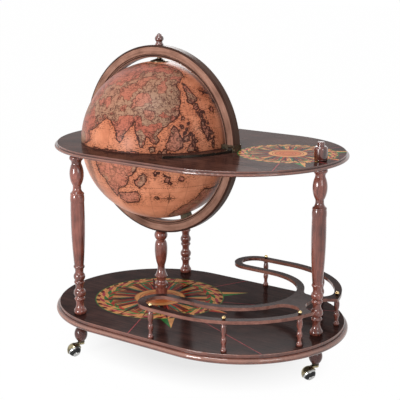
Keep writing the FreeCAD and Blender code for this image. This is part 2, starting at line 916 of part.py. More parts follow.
def make_hinge():
    lid_half = size.lid_knuckle_length * 0.5
    plate = box(
        "leaf_plate",
        (globe_x - hinge_half, leaf_front, table_top),
        (globe_x + hinge_half, leaf_rear, table_top + size.leaf_thickness),
    )
    pieces = [plate]
    web = size.knuckle_radius * 0.5
    knuckle_start = lid_half + size.running_gap
    for start in (-hinge_half, knuckle_start):
        pieces.append(
            cylinder(
                "leaf_knuckle",
                size.knuckle_radius,
                size.knuckle_length,
                (globe_x + start, hinge_y, hinge_z),
                ALONG_X,
            )
        )
        pieces.append(
            box(
                "leaf_web",
                (globe_x + start, hinge_y - web, table_top),
                (globe_x + start + size.knuckle_length, hinge_y + web, hinge_z),
            )
        )
    bore = cylinder(
        "leaf_bore",
        size.hinge_pin_radius + size.seat_gap * 0.5,
        hinge_half * 2 + size.cut_overrun * 2,
        (globe_x - hinge_half - size.cut_overrun, hinge_y, hinge_z),
        ALONG_X,
    )
    holes = screw_holes("leaf", table_top - size.cut_overrun, size.leaf_thickness + size.cut_overrun * 2)
    node("hinge_table_leaf", cut("table_leaf_cut", fuse("table_leaf", *pieces), bore, *holes))
    pin = cylinder(
        "pin", size.hinge_pin_radius, hinge_half * 2, (globe_x - hinge_half, hinge_y, hinge_z), ALONG_X
    )
    node("hinge_pin", pin)

    barrel = cylinder(
        "lid_barrel",
        size.knuckle_radius,
        size.lid_knuckle_length,
        (globe_x - lid_half, hinge_y, hinge_z),
        ALONG_X,
    )
    block_half = size.knuckle_radius * lid_arm_share
    arm = box(
        "lid_arm",
        (globe_x - lid_half, size.globe_radius - size.shell_wall, hinge_z - block_half),
        (globe_x + lid_half, hinge_y, hinge_z + block_half),
    )
    strap_box = box(
        "strap_box",
        (globe_x - lid_half, size.globe_radius * 0.5, hinge_z - block_half),
        (globe_x + lid_half, hinge_y, hinge_z + size.strap_height),
    )
    strap_ball = sphere("strap_ball", size.globe_radius + size.strap_thickness, globe_centre)
    strap = common("strap", strap_box, strap_ball)
    room = sphere("lid_leaf_room", size.globe_radius + size.seat_gap, globe_centre)
    lid_bore = cylinder(
        "lid_bore",
        size.hinge_pin_radius + size.seat_gap,
        size.lid_knuckle_length + size.cut_overrun * 2,
        (globe_x - lid_half - size.cut_overrun, hinge_y, hinge_z),
        ALONG_X,
    )
    node("hinge_lid_leaf", cut("lid_leaf_cut", fuse("lid_leaf", barrel, arm, strap), room, lid_bore))


def make_screws():
    screws = []
    for x, y in screw_places:
        seat = table_top + size.leaf_thickness
        shank_bottom = table_top - size.screw_length
        shank = cylinder("screw_shank", size.screw_radius, seat - shank_bottom, (x, y, shank_bottom))
        crown = size.screw_head_radius * screw_crown_share
        head = cone("screw_head", size.screw_head_radius, crown, size.screw_head_height, (x, y, seat))
        screws.append(fuse("screw", shank, head))
    node("fitting_screws", group("screws", screws))


# Lid stay and its bracket

def make_stay():
    low = table_top + size.stay_gap
    half = size.stay_width * 0.5
    end_angle = size.stay_start_angle + size.stay_sweep_angle
    end_turn = Rotation(Z_AXIS, -end_angle.value)
    outer = cylinder(
        "stay_outer",
        stay_circle + half,
        size.stay_height,
        (globe_x, ZERO, low),
        end_turn,
        size.stay_sweep_angle,
    )
    outer.setExpression("Placement.Rotation.Angle", (-end_angle).formula)
    inner_x = globe_x - sine(size.stay_taper, size.stay_start_angle)
    inner_y = -cosine(size.stay_taper, size.stay_start_angle)
    inner = cylinder("stay_inner", stay_circle - half, size.stay_height, (inner_x, inner_y, low))
    tip_radius = (size.stay_width - sine(size.stay_taper, size.stay_sweep_angle)) * 0.5
    tip_circle = stay_circle + half - tip_radius
    tip = cylinder(
        "stay_tip",
        tip_radius,
        size.stay_height,
        (globe_x + cosine(tip_circle, end_angle), -sine(tip_circle, end_angle), low),
    )
    eye = cylinder(
        "stay_eye", size.stay_eye_radius, size.stay_width, (stay_pivot[0] - half, *stay_pivot[1:]), ALONG_X
    )
    bar = fuse("stay_bar", cut("stay_arc", outer, inner), tip, eye)
    bore = cylinder(
        "stay_bore",
        size.stay_pin_radius + size.seat_gap,
        size.stay_width + size.cut_overrun * 2,
        (stay_pivot[0] - half - size.cut_overrun, *stay_pivot[1:]),
        ALONG_X,
    )
    relief = box(
        "stay_relief",
        (stay_pivot[0] - size.stay_width, stay_pivot[1] - size.ear_height, low - size.cut_overrun),
        (
            stay_pivot[0] - half,
            stay_pivot[1] + size.stay_eye_radius,
            stay_pivot[2] + size.stay_eye_radius + size.cut_overrun,
        ),
    )
    node("lid_stay", cut("stay_cut", bar, bore, relief))


ear_reach_share = 0.7


def make_stay_bracket():
    x, y, z = stay_pivot
    ear_front = y - size.stay_eye_radius * ear_reach_share
    pieces = [
        box(
            "bracket_plate",
            (x - ear_outside, bracket_front, table_top),
            (x + ear_outside, bracket_rear, table_top + size.leaf_thickness),
        )
    ]
    for start in (-ear_outside, ear_inside):
        pieces.append(
            box(
                "bracket_ear",
                (x + start, ear_front, table_top),
                (x + start + size.ear_thickness, bracket_rear, table_top + size.ear_height),
            )
        )
    bore = cylinder(
        "bracket_bore",
        size.stay_pin_radius + size.seat_gap * 0.5,
        ear_outside * 2 + size.cut_overrun * 2,
        (x - ear_outside - size.cut_overrun, y, z),
        ALONG_X,
    )
    holes = screw_holes("bracket", table_top - size.cut_overrun, size.leaf_thickness + size.cut_overrun * 2)
    node("stay_bracket", cut("bracket_cut", fuse("bracket", *pieces), bore, *holes))
    pin = cylinder("stay_rivet", size.stay_pin_radius, ear_outside * 2, (x - ear_outside, y, z), ALONG_X)
    node("stay_pin", pin)


# Gallery rail, balusters and ball nuts

def band(name, outer, inner, low, height, start, sweep):
    """Part of a flat ring about the rail's centre, from an angle through a sweep."""
    at = (rail_x, ZERO, low)
    drum = cylinder(f"{name}_drum", outer, height, at, Rotation(Z_AXIS, start), sweep)
    return cut(name, drum, cylinder(f"{name}_core", inner, height, at))


def make_gallery_rail():
    half_turn = Length(HALF_TURN, str(HALF_TURN))
    quarter_turn = Length(QUARTER_TURN, str(QUARTER_TURN))
    board = [
        band("rail_bend", rail_outer, rail_inner, rail_bottom, size.rail_thickness, -QUARTER_TURN, half_turn)
    ]
    end_radius = (rail_outer - rail_inner) * 0.5
    end_middle = (rail_outer + rail_inner) * 0.5
    low = rail_bottom - size.cut_overrun
    through = size.rail_thickness + size.cut_overrun * 2
    tools = []
    for sign in (-1, 1):
        side = "front" if sign < 0 else "rear"
        arm_near, arm_far = sorted((rail_inner * sign, rail_outer * sign), key=by_value)
        slot_near, slot_far = sorted((slot_inner * sign, slot_outer * sign), key=by_value)
        arm_low = (rail_end_x, arm_near, rail_bottom)
        board.append(box(f"rail_{side}_arm", arm_low, (rail_x, arm_far, rail_top)))
        board.append(
            cylinder(
                f"rail_{side}_end",
                end_radius,
                size.rail_thickness,
                (rail_end_x, end_middle * sign, rail_bottom),
            )
        )
        slot_sweep = quarter_turn - size.rail_slot_angle
        slot_bend = band(
            f"slot_{side}_bend",
            slot_outer,
            slot_inner,
            low,
            through,
            -QUARTER_TURN if sign < 0 else size.rail_slot_angle.value,
            slot_sweep,
        )
        if sign > 0:
            slot_bend.Base.setExpression("Placement.Rotation.Angle", size.rail_slot_angle.formula)
        tools += [
            slot_bend,
            box(
                f"slot_{side}_straight",
                (rail_end_x, slot_near, low),
                (rail_x, slot_far, rail_top + size.cut_overrun),
            ),
            cylinder(f"slot_{side}_left", slot_radius, through, (rail_end_x, slot_middle * sign, low)),
            cylinder(
                f"slot_{side}_right",
                slot_radius,
                through,
                (
                    rail_x + cosine(slot_middle, size.rail_slot_angle),
                    sine(slot_middle, size.rail_slot_angle) * sign,
                    low,
                ),
            ),
        ]
    notch_x = right_leg_x + size.notch_offset
    tools.append(cylinder("rail_notch", size.notch_radius, through, (notch_x, ZERO, low)))
    shank_hole = size.ball_shank_radius + size.seat_gap
    for _, x, y in baluster_places:
        tools.append(cylinder("rail_shank_hole", shank_hole, through, (x, y, low)))
    node("gallery_rail", cut("rail_cut", fuse("rail_board", *board), *tools))


baluster_profile_shares = (
    (0.00, 0.95, 0.10),
    (0.10, 0.95, -0.10),
    (0.24, 0.68, 0),
    (0.28, 0.70, 0.12),
    (0.50, 0.70, -0.05),
    (0.58, 0.68, 0.085),
    (0.93, 0.72, 0),
    (0.94, 0.90, 0.15),
    (1.00, 0.90, 0),
)


def make_balusters():
    corners = tenoned(
        baluster_profile_shares,
        size.rail_height,
        size.baluster_radius,
        size.baluster_tenon_radius,
        size.baluster_tenon_length,
    )
    hole_depth = size.ball_shank_bite + size.hole_gap
    for name, x, y in baluster_places:
        post = turned(f"post_{name}", corners, (x, y, shelf_top - size.baluster_tenon_length))
        hole = cylinder(
            f"post_{name}_hole",
            size.ball_shank_radius + size.seat_gap,
            hole_depth + size.cut_overrun,
            (x, y, rail_bottom - hole_depth),
        )
        node(f"baluster_{name}", cut(f"post_{name}_cut", post, hole))


ball_flat_angle = -58


def make_ball_nuts():
    seat = Length(
        size.ball_radius.value * math.sin(math.radians(-ball_flat_angle)),
        f"({size.ball_radius.formula} * sin({-ball_flat_angle}))",
    )
    nuts = []
    for name, x, y in baluster_places:
        ball = sphere(f"ball_{name}", size.ball_radius, (x, y, rail_top + seat), ball_flat_angle)
        shank_bottom = rail_bottom - size.ball_shank_bite
        shank = cylinder(
            f"ball_{name}_shank", size.ball_shank_radius, rail_top + seat - shank_bottom, (x, y, shank_bottom)
        )
        nuts.append(fuse(f"ball_{name}_nut", ball, shank))
    node("rail_ball_nuts", group("ball_nuts", nuts))


# Bun feet and casters

bun_profile_shares = (
    (0.00, 0.56, 0.20),
    (0.70, 0.62, -0.10),
    (0.80, 0.72, 0),
    (0.86, 0.83, 0.15),
    (1.00, 0.83, 0),
)
tyre_low_angle = -62
tyre_high_angle = -18
wheel_top_angle = 12
tyre_bore_share = 0.55
axle_reach_share = 0.5


def make_foot(leg, x, y):
    sleeve_radius = size.stem_radius + size.seat_gap + size.sleeve_wall
    corners = profile(bun_profile_shares, size.bun_height, size.bun_radius)
    bun = turned(f"bun_{leg}", corners, (x, y, bun_bottom))
    sleeve_hole = cylinder(
        f"bun_{leg}_sleeve_hole",
        sleeve_radius + size.hole_gap,
        size.sleeve_length + size.hole_gap + size.cut_overrun,
        (x, y, bun_bottom - size.cut_overrun),
    )
    rod_socket = cylinder(
        f"bun_{leg}_rod_hole",
        rod_hole,
        shelf_bottom + size.cut_overrun - rod_bottom + size.hole_gap,
        (x, y, rod_bottom - size.hole_gap),
    )
    node(f"bun_foot_{leg}", cut(f"bun_{leg}_cut", bun, sleeve_hole, rod_socket))
    flange = cylinder(
        f"socket_{leg}_flange", size.socket_flange_radius, size.socket_flange, (x, y, socket_bottom)
    )
    sleeve = cylinder(
        f"socket_{leg}_sleeve", sleeve_radius, size.socket_flange + size.sleeve_length, (x, y, socket_bottom)
    )
    bore = cylinder(
        f"socket_{leg}_bore",
        size.stem_radius + size.seat_gap,
        size.socket_flange + size.sleeve_length + size.cut_overrun * 2,
        (x, y, socket_bottom - size.cut_overrun),
    )
    node(f"caster_socket_{leg}", cut(f"socket_{leg}_cut", fuse(f"socket_{leg}", flange, sleeve), bore))


def make_caster(leg, x, y):
    """A hooded ball caster: the wheel turns on a leaning axle that trails the stem."""
    at = (x, y, ZERO)
    heading = Rotation(Z_AXIS, size.caster_heading.value)
    lean = Rotation(X_AXIS, -size.axle_lean.value)
    ball_centre = (-size.caster_trail, ZERO, size.wheel_radius)

    def leaning(thing):
        place(thing, ball_centre, lean)
        thing.setExpression("Placement.Rotation.Angle", (-size.axle_lean).formula)
        return thing

    def finish(label, thing):
        place(thing, at, heading)
        thing.setExpression("Placement.Rotation.Angle", size.caster_heading.formula)
        node(f"{label}_{leg}", thing)

    prefix = f"caster_{leg}"
    dome = leaning(sphere(f"{prefix}_dome", hood_radius, ball_centre, 0, QUARTER_TURN))
    arm_half = size.arm_width * 0.5
    arm_bottom = swivel_top - size.swivel_flange
    arm = box(f"{prefix}_arm", (-size.caster_trail, -arm_half, arm_bottom), (ZERO, arm_half, swivel_top))
    flange = cylinder(
        f"{prefix}_flange", size.swivel_flange_radius, size.swivel_flange, (ZERO, ZERO, arm_bottom)
    )
    stem = cylinder(f"{prefix}_stem", size.stem_radius, size.stem_length, (ZERO, ZERO, swivel_top))
    hollow = sphere(f"{prefix}_hollow", size.wheel_radius + size.hood_gap, ball_centre)
    finish("caster_hood", cut(f"{prefix}_hood", fuse(f"{prefix}_shell", dome, arm, flange, stem), hollow))

    reach = size.wheel_radius * axle_reach_share
    axle_top = size.wheel_radius + size.hood_gap
    pin = cylinder(f"{prefix}_pin", size.axle_radius, axle_top + reach, (ZERO, ZERO, -reach))
    pin_seat = common(
        f"{prefix}_pin_seat", pin, sphere(f"{prefix}_pin_room", axle_top - size.seat_gap, (ZERO, ZERO, ZERO))
    )
    finish("caster_axle", group(f"{prefix}_axle", [leaning(pin_seat)]))

    tyre_bore = size.wheel_radius * tyre_bore_share
    top = size.wheel_radius
    tread = sphere(f"{prefix}_tread", top, (ZERO, ZERO, ZERO), tyre_low_angle, tyre_high_angle)
    tread_bore = cylinder(f"{prefix}_tread_bore", tyre_bore, top * 2, (ZERO, ZERO, -top))
    tyre = leaning(cut(f"{prefix}_tyre_cut", tread, tread_bore))
    finish("caster_tyre", group(f"{prefix}_tyre", [tyre]))

    face_bottom = Length(
        top.value * math.sin(math.radians(tyre_low_angle)), f"({top.formula} * sin({tyre_low_angle}))"
    )
    face_top = Length(
        top.value * math.sin(math.radians(wheel_top_angle)), f"({top.formula} * sin({wheel_top_angle}))"
    )
    core = cylinder(
        f"{prefix}_core", tyre_bore - size.seat_gap, face_top - face_bottom, (ZERO, ZERO, face_bottom)
    )
    cap = sphere(f"{prefix}_cap", top, (ZERO, ZERO, ZERO), -QUARTER_TURN, tyre_low_angle)
    shoulder = sphere(f"{prefix}_shoulder", top, (ZERO, ZERO, ZERO), tyre_high_angle, wheel_top_angle)
    axle_bore = cylinder(
        f"{prefix}_axle_bore",
        size.axle_radius + size.seat_gap,
        top + reach,
        (ZERO, ZERO, -(reach + size.running_gap)),
    )
    body = fuse(f"{prefix}_wheel_body", core, cap, shoulder)
    wheel = leaning(cut(f"{prefix}_wheel_cut", body, axle_bore))
    finish("caster_wheel", group(f"{prefix}_wheel", [wheel]))


make_table_top()
make_lower_shelf()
make_legs()
make_tie_rods()
make_leg_finial()
make_pedestal()
make_rings()
make_ring_shoes()
make_ring_blocks()
make_finial()
make_pole_cap()
make_globe()
make_bar()
make_hinge()
make_screws()
make_stay()
make_stay_bracket()
make_gallery_rail()
make_balusters()
make_ball_nuts()
for leg, (x, y) in leg_places.items():
    make_foot(leg, x, y)
    make_caster(leg, x, y)
doc.recompute()

for thing in doc.Objects:
    if "Invalid" in thing.State or "Error" in thing.State:
        raise RuntimeError(f"{thing.Label} failed: {thing.State}")
for thing in nodes:
    if thing.Shape.isNull() or not thing.Shape.isValid():
        raise RuntimeError(f"{thing.Label} has no valid shape")

os.makedirs("parts", exist_ok=True)
for thing in nodes:
    thing.Shape.exportStep(f"parts/{thing.Label}.step")
    corner = thing.Shape.BoundBox
    print(
        f"{thing.Label}: {len(thing.Shape.Solids)} solids, {thing.Shape.Volume / 1000:.1f} cm3,"
        f" z {corner.ZMin:.1f} to {corner.ZMax:.1f}"
    )
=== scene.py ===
"""Floor globe bar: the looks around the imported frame."""
import json
import math
import random

import bpy
import numpy as np
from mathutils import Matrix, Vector


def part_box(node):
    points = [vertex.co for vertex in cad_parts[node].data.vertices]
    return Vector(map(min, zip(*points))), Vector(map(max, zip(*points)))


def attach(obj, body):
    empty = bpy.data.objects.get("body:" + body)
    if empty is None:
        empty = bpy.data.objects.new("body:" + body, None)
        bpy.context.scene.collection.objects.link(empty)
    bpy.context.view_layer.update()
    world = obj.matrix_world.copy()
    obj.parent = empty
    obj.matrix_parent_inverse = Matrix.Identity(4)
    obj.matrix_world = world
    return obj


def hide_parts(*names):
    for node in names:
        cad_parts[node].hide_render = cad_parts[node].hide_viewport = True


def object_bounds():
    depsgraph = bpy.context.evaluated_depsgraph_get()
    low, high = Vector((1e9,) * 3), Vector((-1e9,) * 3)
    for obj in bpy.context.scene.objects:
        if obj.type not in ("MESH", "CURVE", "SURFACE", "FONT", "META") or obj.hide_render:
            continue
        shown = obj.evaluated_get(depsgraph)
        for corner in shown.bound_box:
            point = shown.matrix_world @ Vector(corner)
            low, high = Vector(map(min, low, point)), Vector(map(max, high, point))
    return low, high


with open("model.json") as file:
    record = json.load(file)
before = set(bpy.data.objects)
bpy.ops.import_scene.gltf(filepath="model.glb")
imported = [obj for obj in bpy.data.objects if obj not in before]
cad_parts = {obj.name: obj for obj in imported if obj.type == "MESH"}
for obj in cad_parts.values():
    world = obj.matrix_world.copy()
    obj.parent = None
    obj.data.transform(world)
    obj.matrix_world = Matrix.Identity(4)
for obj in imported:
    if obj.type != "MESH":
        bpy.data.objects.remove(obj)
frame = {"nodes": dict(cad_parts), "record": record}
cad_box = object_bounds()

nodes = frame["nodes"]
scene = bpy.context.scene
slot_of = {row["node"]: row["material_slot"] for row in frame["record"]["subparts"]}

# Places and sizes, taken from the frame, in metres
MM = 0.001
TURN = 2 * math.pi
RIM_SLACK = 0.1 * MM
CREASE_SAMPLES = 6
globe_low, globe_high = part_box("globe_lower")
GLOBE_RADIUS = (globe_high.x - globe_low.x) / 2
GLOBE_X = (globe_high.x + globe_low.x) / 2
GLOBE_Z = globe_high.z
TABLE_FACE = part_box("table_top")[1].z
SHELF_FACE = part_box("lower_shelf")[1].z
ring_low, ring_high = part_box("ring_lower")
RING_OUTER = (ring_high.x - ring_low.x) / 2


def node_points(name):
    return np.array([v.co for v in nodes[name].data.vertices], float)


def rim_inner(name, height):
    """Radius of the hole in a shell's rim."""
    points = node_points(name)
    rim = points[np.abs(points[:, 2] - height) < RIM_SLACK]
    return float(np.hypot(rim[:, 0] - GLOBE_X, rim[:, 1]).min())


def ring_inner(name):
    """Inner radius of the ring, about the cross axis of the globe."""
    points = node_points(name)
    return float(np.hypot(points[:, 0] - GLOBE_X, points[:, 2] - GLOBE_Z).min())


SHELL_INNER = rim_inner("globe_lower", GLOBE_Z)
RING_INNER = ring_inner("ring_upper")


# Node trees written as sums

class Field:
    """A value in a node tree."""

    def __init__(self, tree, socket):
        self.tree = tree
        self.socket = socket

    def __abs__(self):
        return self.tree.math("ABSOLUTE", self)

    def __add__(self, other):
        return self.tree.math("ADD", self, other)

    __radd__ = __add__

    def __sub__(self, other):
        return self.tree.math("SUBTRACT", self, other)

    def __rsub__(self, other):
        return self.tree.math("SUBTRACT", other, self)

    def __mul__(self, other):
        return self.tree.math("MULTIPLY", self, other)

    __rmul__ = __mul__

    def __truediv__(self, other):
        return self.tree.math("DIVIDE", self, other)

    def __rtruediv__(self, other):
        return self.tree.math("DIVIDE", other, self)


class Tree:
    """The node tree of a material or world."""

    def __init__(self, owner):
        owner.use_nodes = True
        self.tree = owner.node_tree
        self.tree.nodes.clear()

    def add(self, kind, **values):
        made = self.tree.nodes.new(kind)
        for name, value in values.items():
            setattr(made, name, value)
        return made

    def put(self, socket, value):
        """Links a field to an input, or sets the input to a plain value."""
        if isinstance(value, Field):
            self.tree.links.new(value.socket, socket)
        elif socket.type == "RGBA":
            socket.default_value = (*value, 1.0)
        else:
            socket.default_value = value

    def make(self, kind, inputs, output=0, **values):
        """The output of a new node, with its inputs given by name or number."""
        made = self.add(kind, **values)
        for name, value in inputs.items():
            self.put(made.inputs[name], value)
        return Field(self, made.outputs[output])

    def close(self, kind, surface):
        """Ends the tree in an output node."""
        self.put(self.add(kind).inputs[0], surface)

    def math(self, operation, *values):
        return self.make("ShaderNodeMath", dict(enumerate(values)), operation=operation)

    def most(self, first, second):
        return self.math("MAXIMUM", first, second)

    def mix(self, share, first, second, kind="MIX"):
        inputs = {0: share, 6: first, 7: second}
        return self.make("ShaderNodeMix", inputs, 2, data_type="RGBA", blend_type=kind)

    def paint(self, colour, tint, mask, share):
        """The colour with a share of the tint over it where the mask is 1."""
        return self.mix(mask * share, colour, tint)

    def blend(self, share, first, second):
        """Goes from one surface to another."""
        return self.make("ShaderNodeMixShader", {0: share, 1: first, 2: second})

    def span(self, value, low, high, start=0.0, end=1.0, kind="LINEAR"):
        """Goes from start to end as the value goes from low to high."""
        inputs = dict(enumerate((value, low, high, start, end)))
        return self.make("ShaderNodeMapRange", inputs, interpolation_type=kind)

    def rise(self, value, low, high):
        """Goes smoothly from 0 to 1 as the value goes from low to high."""
        return self.span(value, low, high, kind="SMOOTHSTEP")

    def line(self, value, middle, half, soft=0.25 * MM):
        """1 on a stroke of the value, 0 beside it."""
        return 1.0 - self.rise(abs(value - middle), half - soft, half + soft)

    def offset(self, value):
        """Offset from the nearest whole number."""
        return self.math("FRACT", value + 0.5) - 0.5

    def polar(self, across, up):
        """Distance and direction of a point with two offsets."""
        distance = self.math("SQRT", across * across + up * up)
        return distance, self.math("ARCTAN2", up, across)

    def place(self):
        return self.make("ShaderNodeTexCoord", {}, "Object")

    def normal(self):
        """The three parts of the surface's direction."""
        return self.split(self.make("ShaderNodeTexCoord", {}, "Normal"))

    def split(self, vector):
        made = self.add("ShaderNodeSeparateXYZ")
        self.put(made.inputs[0], vector)
        return [Field(self, socket) for socket in made.outputs]

    def join(self, x, y, z):
        return self.make("ShaderNodeCombineXYZ", dict(enumerate((x, y, z))))

    def noise(self, vector, scale, detail=4.0, rough=0.55):
        inputs = {"Vector": vector, "Scale": scale, "Detail": detail, "Roughness": rough}
        return self.make("ShaderNodeTexNoise", inputs)

    def ramp(self, value, *stops):
        made = self.add("ShaderNodeValToRGB")
        elements = made.color_ramp.elements
        while len(elements) < len(stops):
            elements.new(0.5)
        for element, (where, colour) in zip(elements, stops):
            element.position = where
            element.color = (*colour, 1.0)
        self.put(made.inputs[0], value)
        return Field(self, made.outputs[0])

    def attribute(self, name):
        return self.make("ShaderNodeAttribute", {}, "Fac", attribute_name=name)

    def crease(self, reach, deep, bare):
        """1 on open surfaces, 0 in grooves; deep and bare are shares of open air."""
        air = self.make("ShaderNodeAmbientOcclusion", {"Distance": reach}, "AO", samples=CREASE_SAMPLES)
        return self.rise(air, deep, bare)


class Shader(Tree):
    """A material with one principled surface."""

    def __init__(self, name, **values):
        self.material = bpy.data.materials.new(name)
        super().__init__(self.material)
        self.surface = self.add("ShaderNodeBsdfPrincipled")
        self.close("ShaderNodeOutputMaterial", Field(self, self.surface.outputs[0]))
        for socket, value in values.items():
            self.set(socket.replace("_", " ").title().replace("Ior", "IOR"), value)

    def set(self, name, value):
        self.put(self.surface.inputs[name], value)

    def bump(self, height, strength, depth):
        inputs = {"Height": height, "Strength": strength, "Distance": depth}
        self.set("Normal", self.make("ShaderNodeBump", inputs))


def varied(middle, noise, reach):
    """A value that a noise moves by up to half the reach each way."""
    return middle + (noise - 0.5) * reach


def tone(red, green, blue):
    """A screen colour of 0 to 255 as linear light."""
    return tuple(
        c / 255 / 12.92 if c <= 10 else ((c / 255 + 0.055) / 1.055) ** 2.4
        for c in (red, green, blue)
    )


# Wood: scales of the noises per metre, along and across the grain

GRAIN_LENGTH = 9.0
GRAIN_WIDTH = 120.0
PORE_LENGTH = 60.0
PORE_WIDTH = 900.0
STREAK_SHARE = 0.55
# where the ramp has the dark, middle and light tone
GRAIN_STOPS = (0.34, 0.50, 0.68)
# How far the air reaches into grooves, and how strongly painted shade darkens them
WOOD_GROOVE = 9 * MM
GROOVE_SHADE = 0.75


def stretched(shader, position, axis, along, across):
    parts = shader.split(position)
    scales = [along if name == axis else across for name in "xyz"]
    return shader.join(*(part * scale for part, scale in zip(parts, scales)))


def grain(shader, position, axis, tones):
    """Colour of streaked wood, and the height of its pores."""
    grained = stretched(shader, position, axis, GRAIN_LENGTH, GRAIN_WIDTH)
    pored = stretched(shader, position, axis, PORE_LENGTH, PORE_WIDTH)
    streak = shader.noise(grained, scale=1.0, detail=5.0, rough=0.6)
    figure = shader.noise(position, scale=14.0, detail=3.0)
    pores = shader.noise(pored, scale=1.0, detail=2.0)
    value = streak * STREAK_SHARE + figure * (1.0 - STREAK_SHARE)
    colour = shader.ramp(value, *zip(GRAIN_STOPS, tones))
    return shader.paint(colour, tones[0], shader.rise(pores, 0.60, 0.74), share=0.25), pores


def wood(name, axis, tones, roughness=0.22, coat=0.35, ior=1.45, coat_ior=1.5):
    """Lacquered wood, with painted shade darkening its grooves."""
    shader = Shader(name, coat_weight=coat, coat_roughness=0.12, coat_ior=coat_ior, ior=ior)
    position = shader.place()
    colour, pores = grain(shader, position, axis, tones)
    # painted shade: ambient occlusion darkens the grooves towards the darkest tone
    groove = shader.crease(WOOD_GROOVE, deep=0.25, bare=0.85)
    colour = shader.mix(groove, shader.mix(GROOVE_SHADE, colour, tones[0], "MULTIPLY"), colour)
    shader.set("Base Color", colour)
    smear = shader.noise(position, scale=35.0, detail=3.0)
    shader.set("Roughness", varied(roughness, smear, 0.14))
    shader.bump(pores, strength=0.05, depth=0.4 * MM)
    return shader.material


# Dark, middle and light tone of each wood
MAHOGANY = (tone(58, 29, 24), tone(106, 57, 47), tone(138, 82, 69))
KNOB = (tone(48, 23, 19), tone(82, 40, 32), tone(108, 58, 47))
# Bun feet: darker tones as painted shade under the shelf
SHADED_FOOT = (tone(44, 24, 23), tone(70, 41, 38), tone(92, 58, 53))
DARK = (tone(32, 19, 18), tone(50, 31, 28), tone(68, 44, 39))
TABLE_DARK = (tone(40, 23, 20), tone(62, 38, 32), tone(82, 53, 45))
RAIL_SIDE = (tone(74, 44, 38), tone(108, 70, 60), tone(132, 92, 80))
INSERT = (tone(84, 42, 28), tone(128, 72, 48), tone(158, 98, 66))
RING = (tone(92, 65, 54), tone(129, 95, 81), tone(150, 116, 101))
# Edge tones are lighter partly by the edge's own reddish stain and partly as painted reflection
EDGE = (tone(58, 31, 25), tone(90, 50, 39), tone(114, 67, 54))
RING_DARK = tone(38, 22, 18)
RING_SIDE = tone(58, 44, 38)
# Colour of the painted highlight on the boards' edges
EDGE_HIGHLIGHT = tone(156, 117, 103)

# Inlays
TAN = tone(196, 136, 82)
ORANGE = tone(184, 100, 56)
RED = tone(164, 52, 40)
GREEN = tone(48, 108, 54)
TEAL = tone(62, 98, 90)
INK = tone(36, 20, 18)
MAROON = tone(88, 30, 24)
RUST = tone(112, 58, 32)
PINK = tone(158, 60, 66)


# Inlaid compass roses

# Tiles, inner and outer edge in shares of the radius, two colours, slant
ROSE_BANDS = (
    (60, 0.93, 0.985, TAN, MAROON, 0.4),
    (40, 0.865, 0.93, TAN, PINK, 1.0),
    (36, 0.80, 0.865, GREEN, TAN, 0.9),
    (36, 0.735, 0.80, GREEN, RED, -0.9),
    (48, 0.40, 0.735, TAN, RUST, 0.0),
)
# Count, start, tip and half width in shares of the radius, two colours, turn
ROSE_POINTS = (
    (4, 0.8, 1.42, 0.16, GREEN, TAN, TURN / 8),
    (4, 0.8, 1.30, 0.14, RED, TAN, 0.0),
)
ROSE_SPIKES = (
    (16, 0.38, 0.84, 0.036, TEAL, GREEN, TURN / 64),
    (16, 0.38, 0.78, 0.036, INK, RED, TURN * 3 / 64),
    (8, 0.38, 0.93, 0.036, RED, MAROON, TURN / 16),
    (8, 0.38, 1.0, 0.055, INK, MAROON, 0.0),
)
# Radii in shares of the rose's radius
ROSE_RIM = 0.992
ROSE_HUB = (0.395, 0.40)
ROSE_HUB_FADE = (0.26, 0.30)
ROSE_RINGS = (0.10, 0.16, 0.25, 0.31, 0.39)
# Lines and points are only past this share of the radius from the middle
ROSE_FORWARD = (0.25, 0.26)
RAY_COUNT = 8
SOFT_EDGE = 0.3 * MM
TILE_EDGE = 0.2 * MM
SPIKE_START = 0.5 * MM
SPIKE_MIDDLE = 0.002
SPIKE_INK = 0.7 * MM
TILE_INK = 0.8 * MM
RAY_INK = 1.4 * MM
RING_INK = 1.1 * MM
RIM_INK = 1.4 * MM


def sector(shader, angle, count, turn=0.0):
    """Offset from the nearest of some even directions, in shares of one step."""
    return shader.offset((angle + turn) * (count / TURN))


def spikes(shader, colour, distance, angle, radius, row):
    """Paints pointed rays, each half in its own colour."""
    count, start, end, width, left, right, turn = row
    start, end, width = start * radius, end * radius, width * radius
    offset = sector(shader, angle, count, turn)
    side = abs(offset) * distance * (TURN / count)
    reach = (end - distance) * (width / (end - start))
    begun = shader.rise(distance, start, start + SPIKE_START)
    inside = shader.rise(reach - side, -SOFT_EDGE, SOFT_EDGE) * begun
    tint = shader.mix(shader.rise(offset, -SPIKE_MIDDLE, SPIKE_MIDDLE), left, right)
    edge = shader.line(reach - side, 0.0, SPIKE_INK) * begun
    return shader.mix(edge, shader.mix(inside, colour, tint), INK)


def tiles(shader, colour, distance, angle, radius, row):
    """Paints a band of tiles in turn of two colours, with dark joints; slant shears the tiles."""
    count, start, end, first, second, slant = row
    start, end = start * radius, end * radius
    inside = shader.rise(distance, start - TILE_EDGE, start + TILE_EDGE) * (
        1.0 - shader.rise(distance, end - TILE_EDGE, end + TILE_EDGE)
    )
    turned = angle + (distance - start) * (slant * TURN / count / (end - start))
    # the whole number keeps the phase above 0
    phase = shader.math("FRACT", turned * (count / 2 / TURN) + 8.0)
    tint = shader.mix(shader.math("GREATER_THAN", phase, 0.5), first, second)
    joint = abs(sector(shader, turned, count, TURN / count / 2)) * distance * (TURN / count)
    tint = shader.mix(shader.line(joint, 0.0, TILE_INK), tint, INK)
    return shader.mix(inside, colour, tint)


def rays(shader, colour, distance, angle):
    """Paints thin straight lines from a rose across the board."""
    step = TURN / RAY_COUNT
    side = abs(sector(shader, angle, RAY_COUNT, step / 2)) * distance * step
    return shader.paint(colour, PINK, shader.line(side, 0.0, RAY_INK), share=0.8)


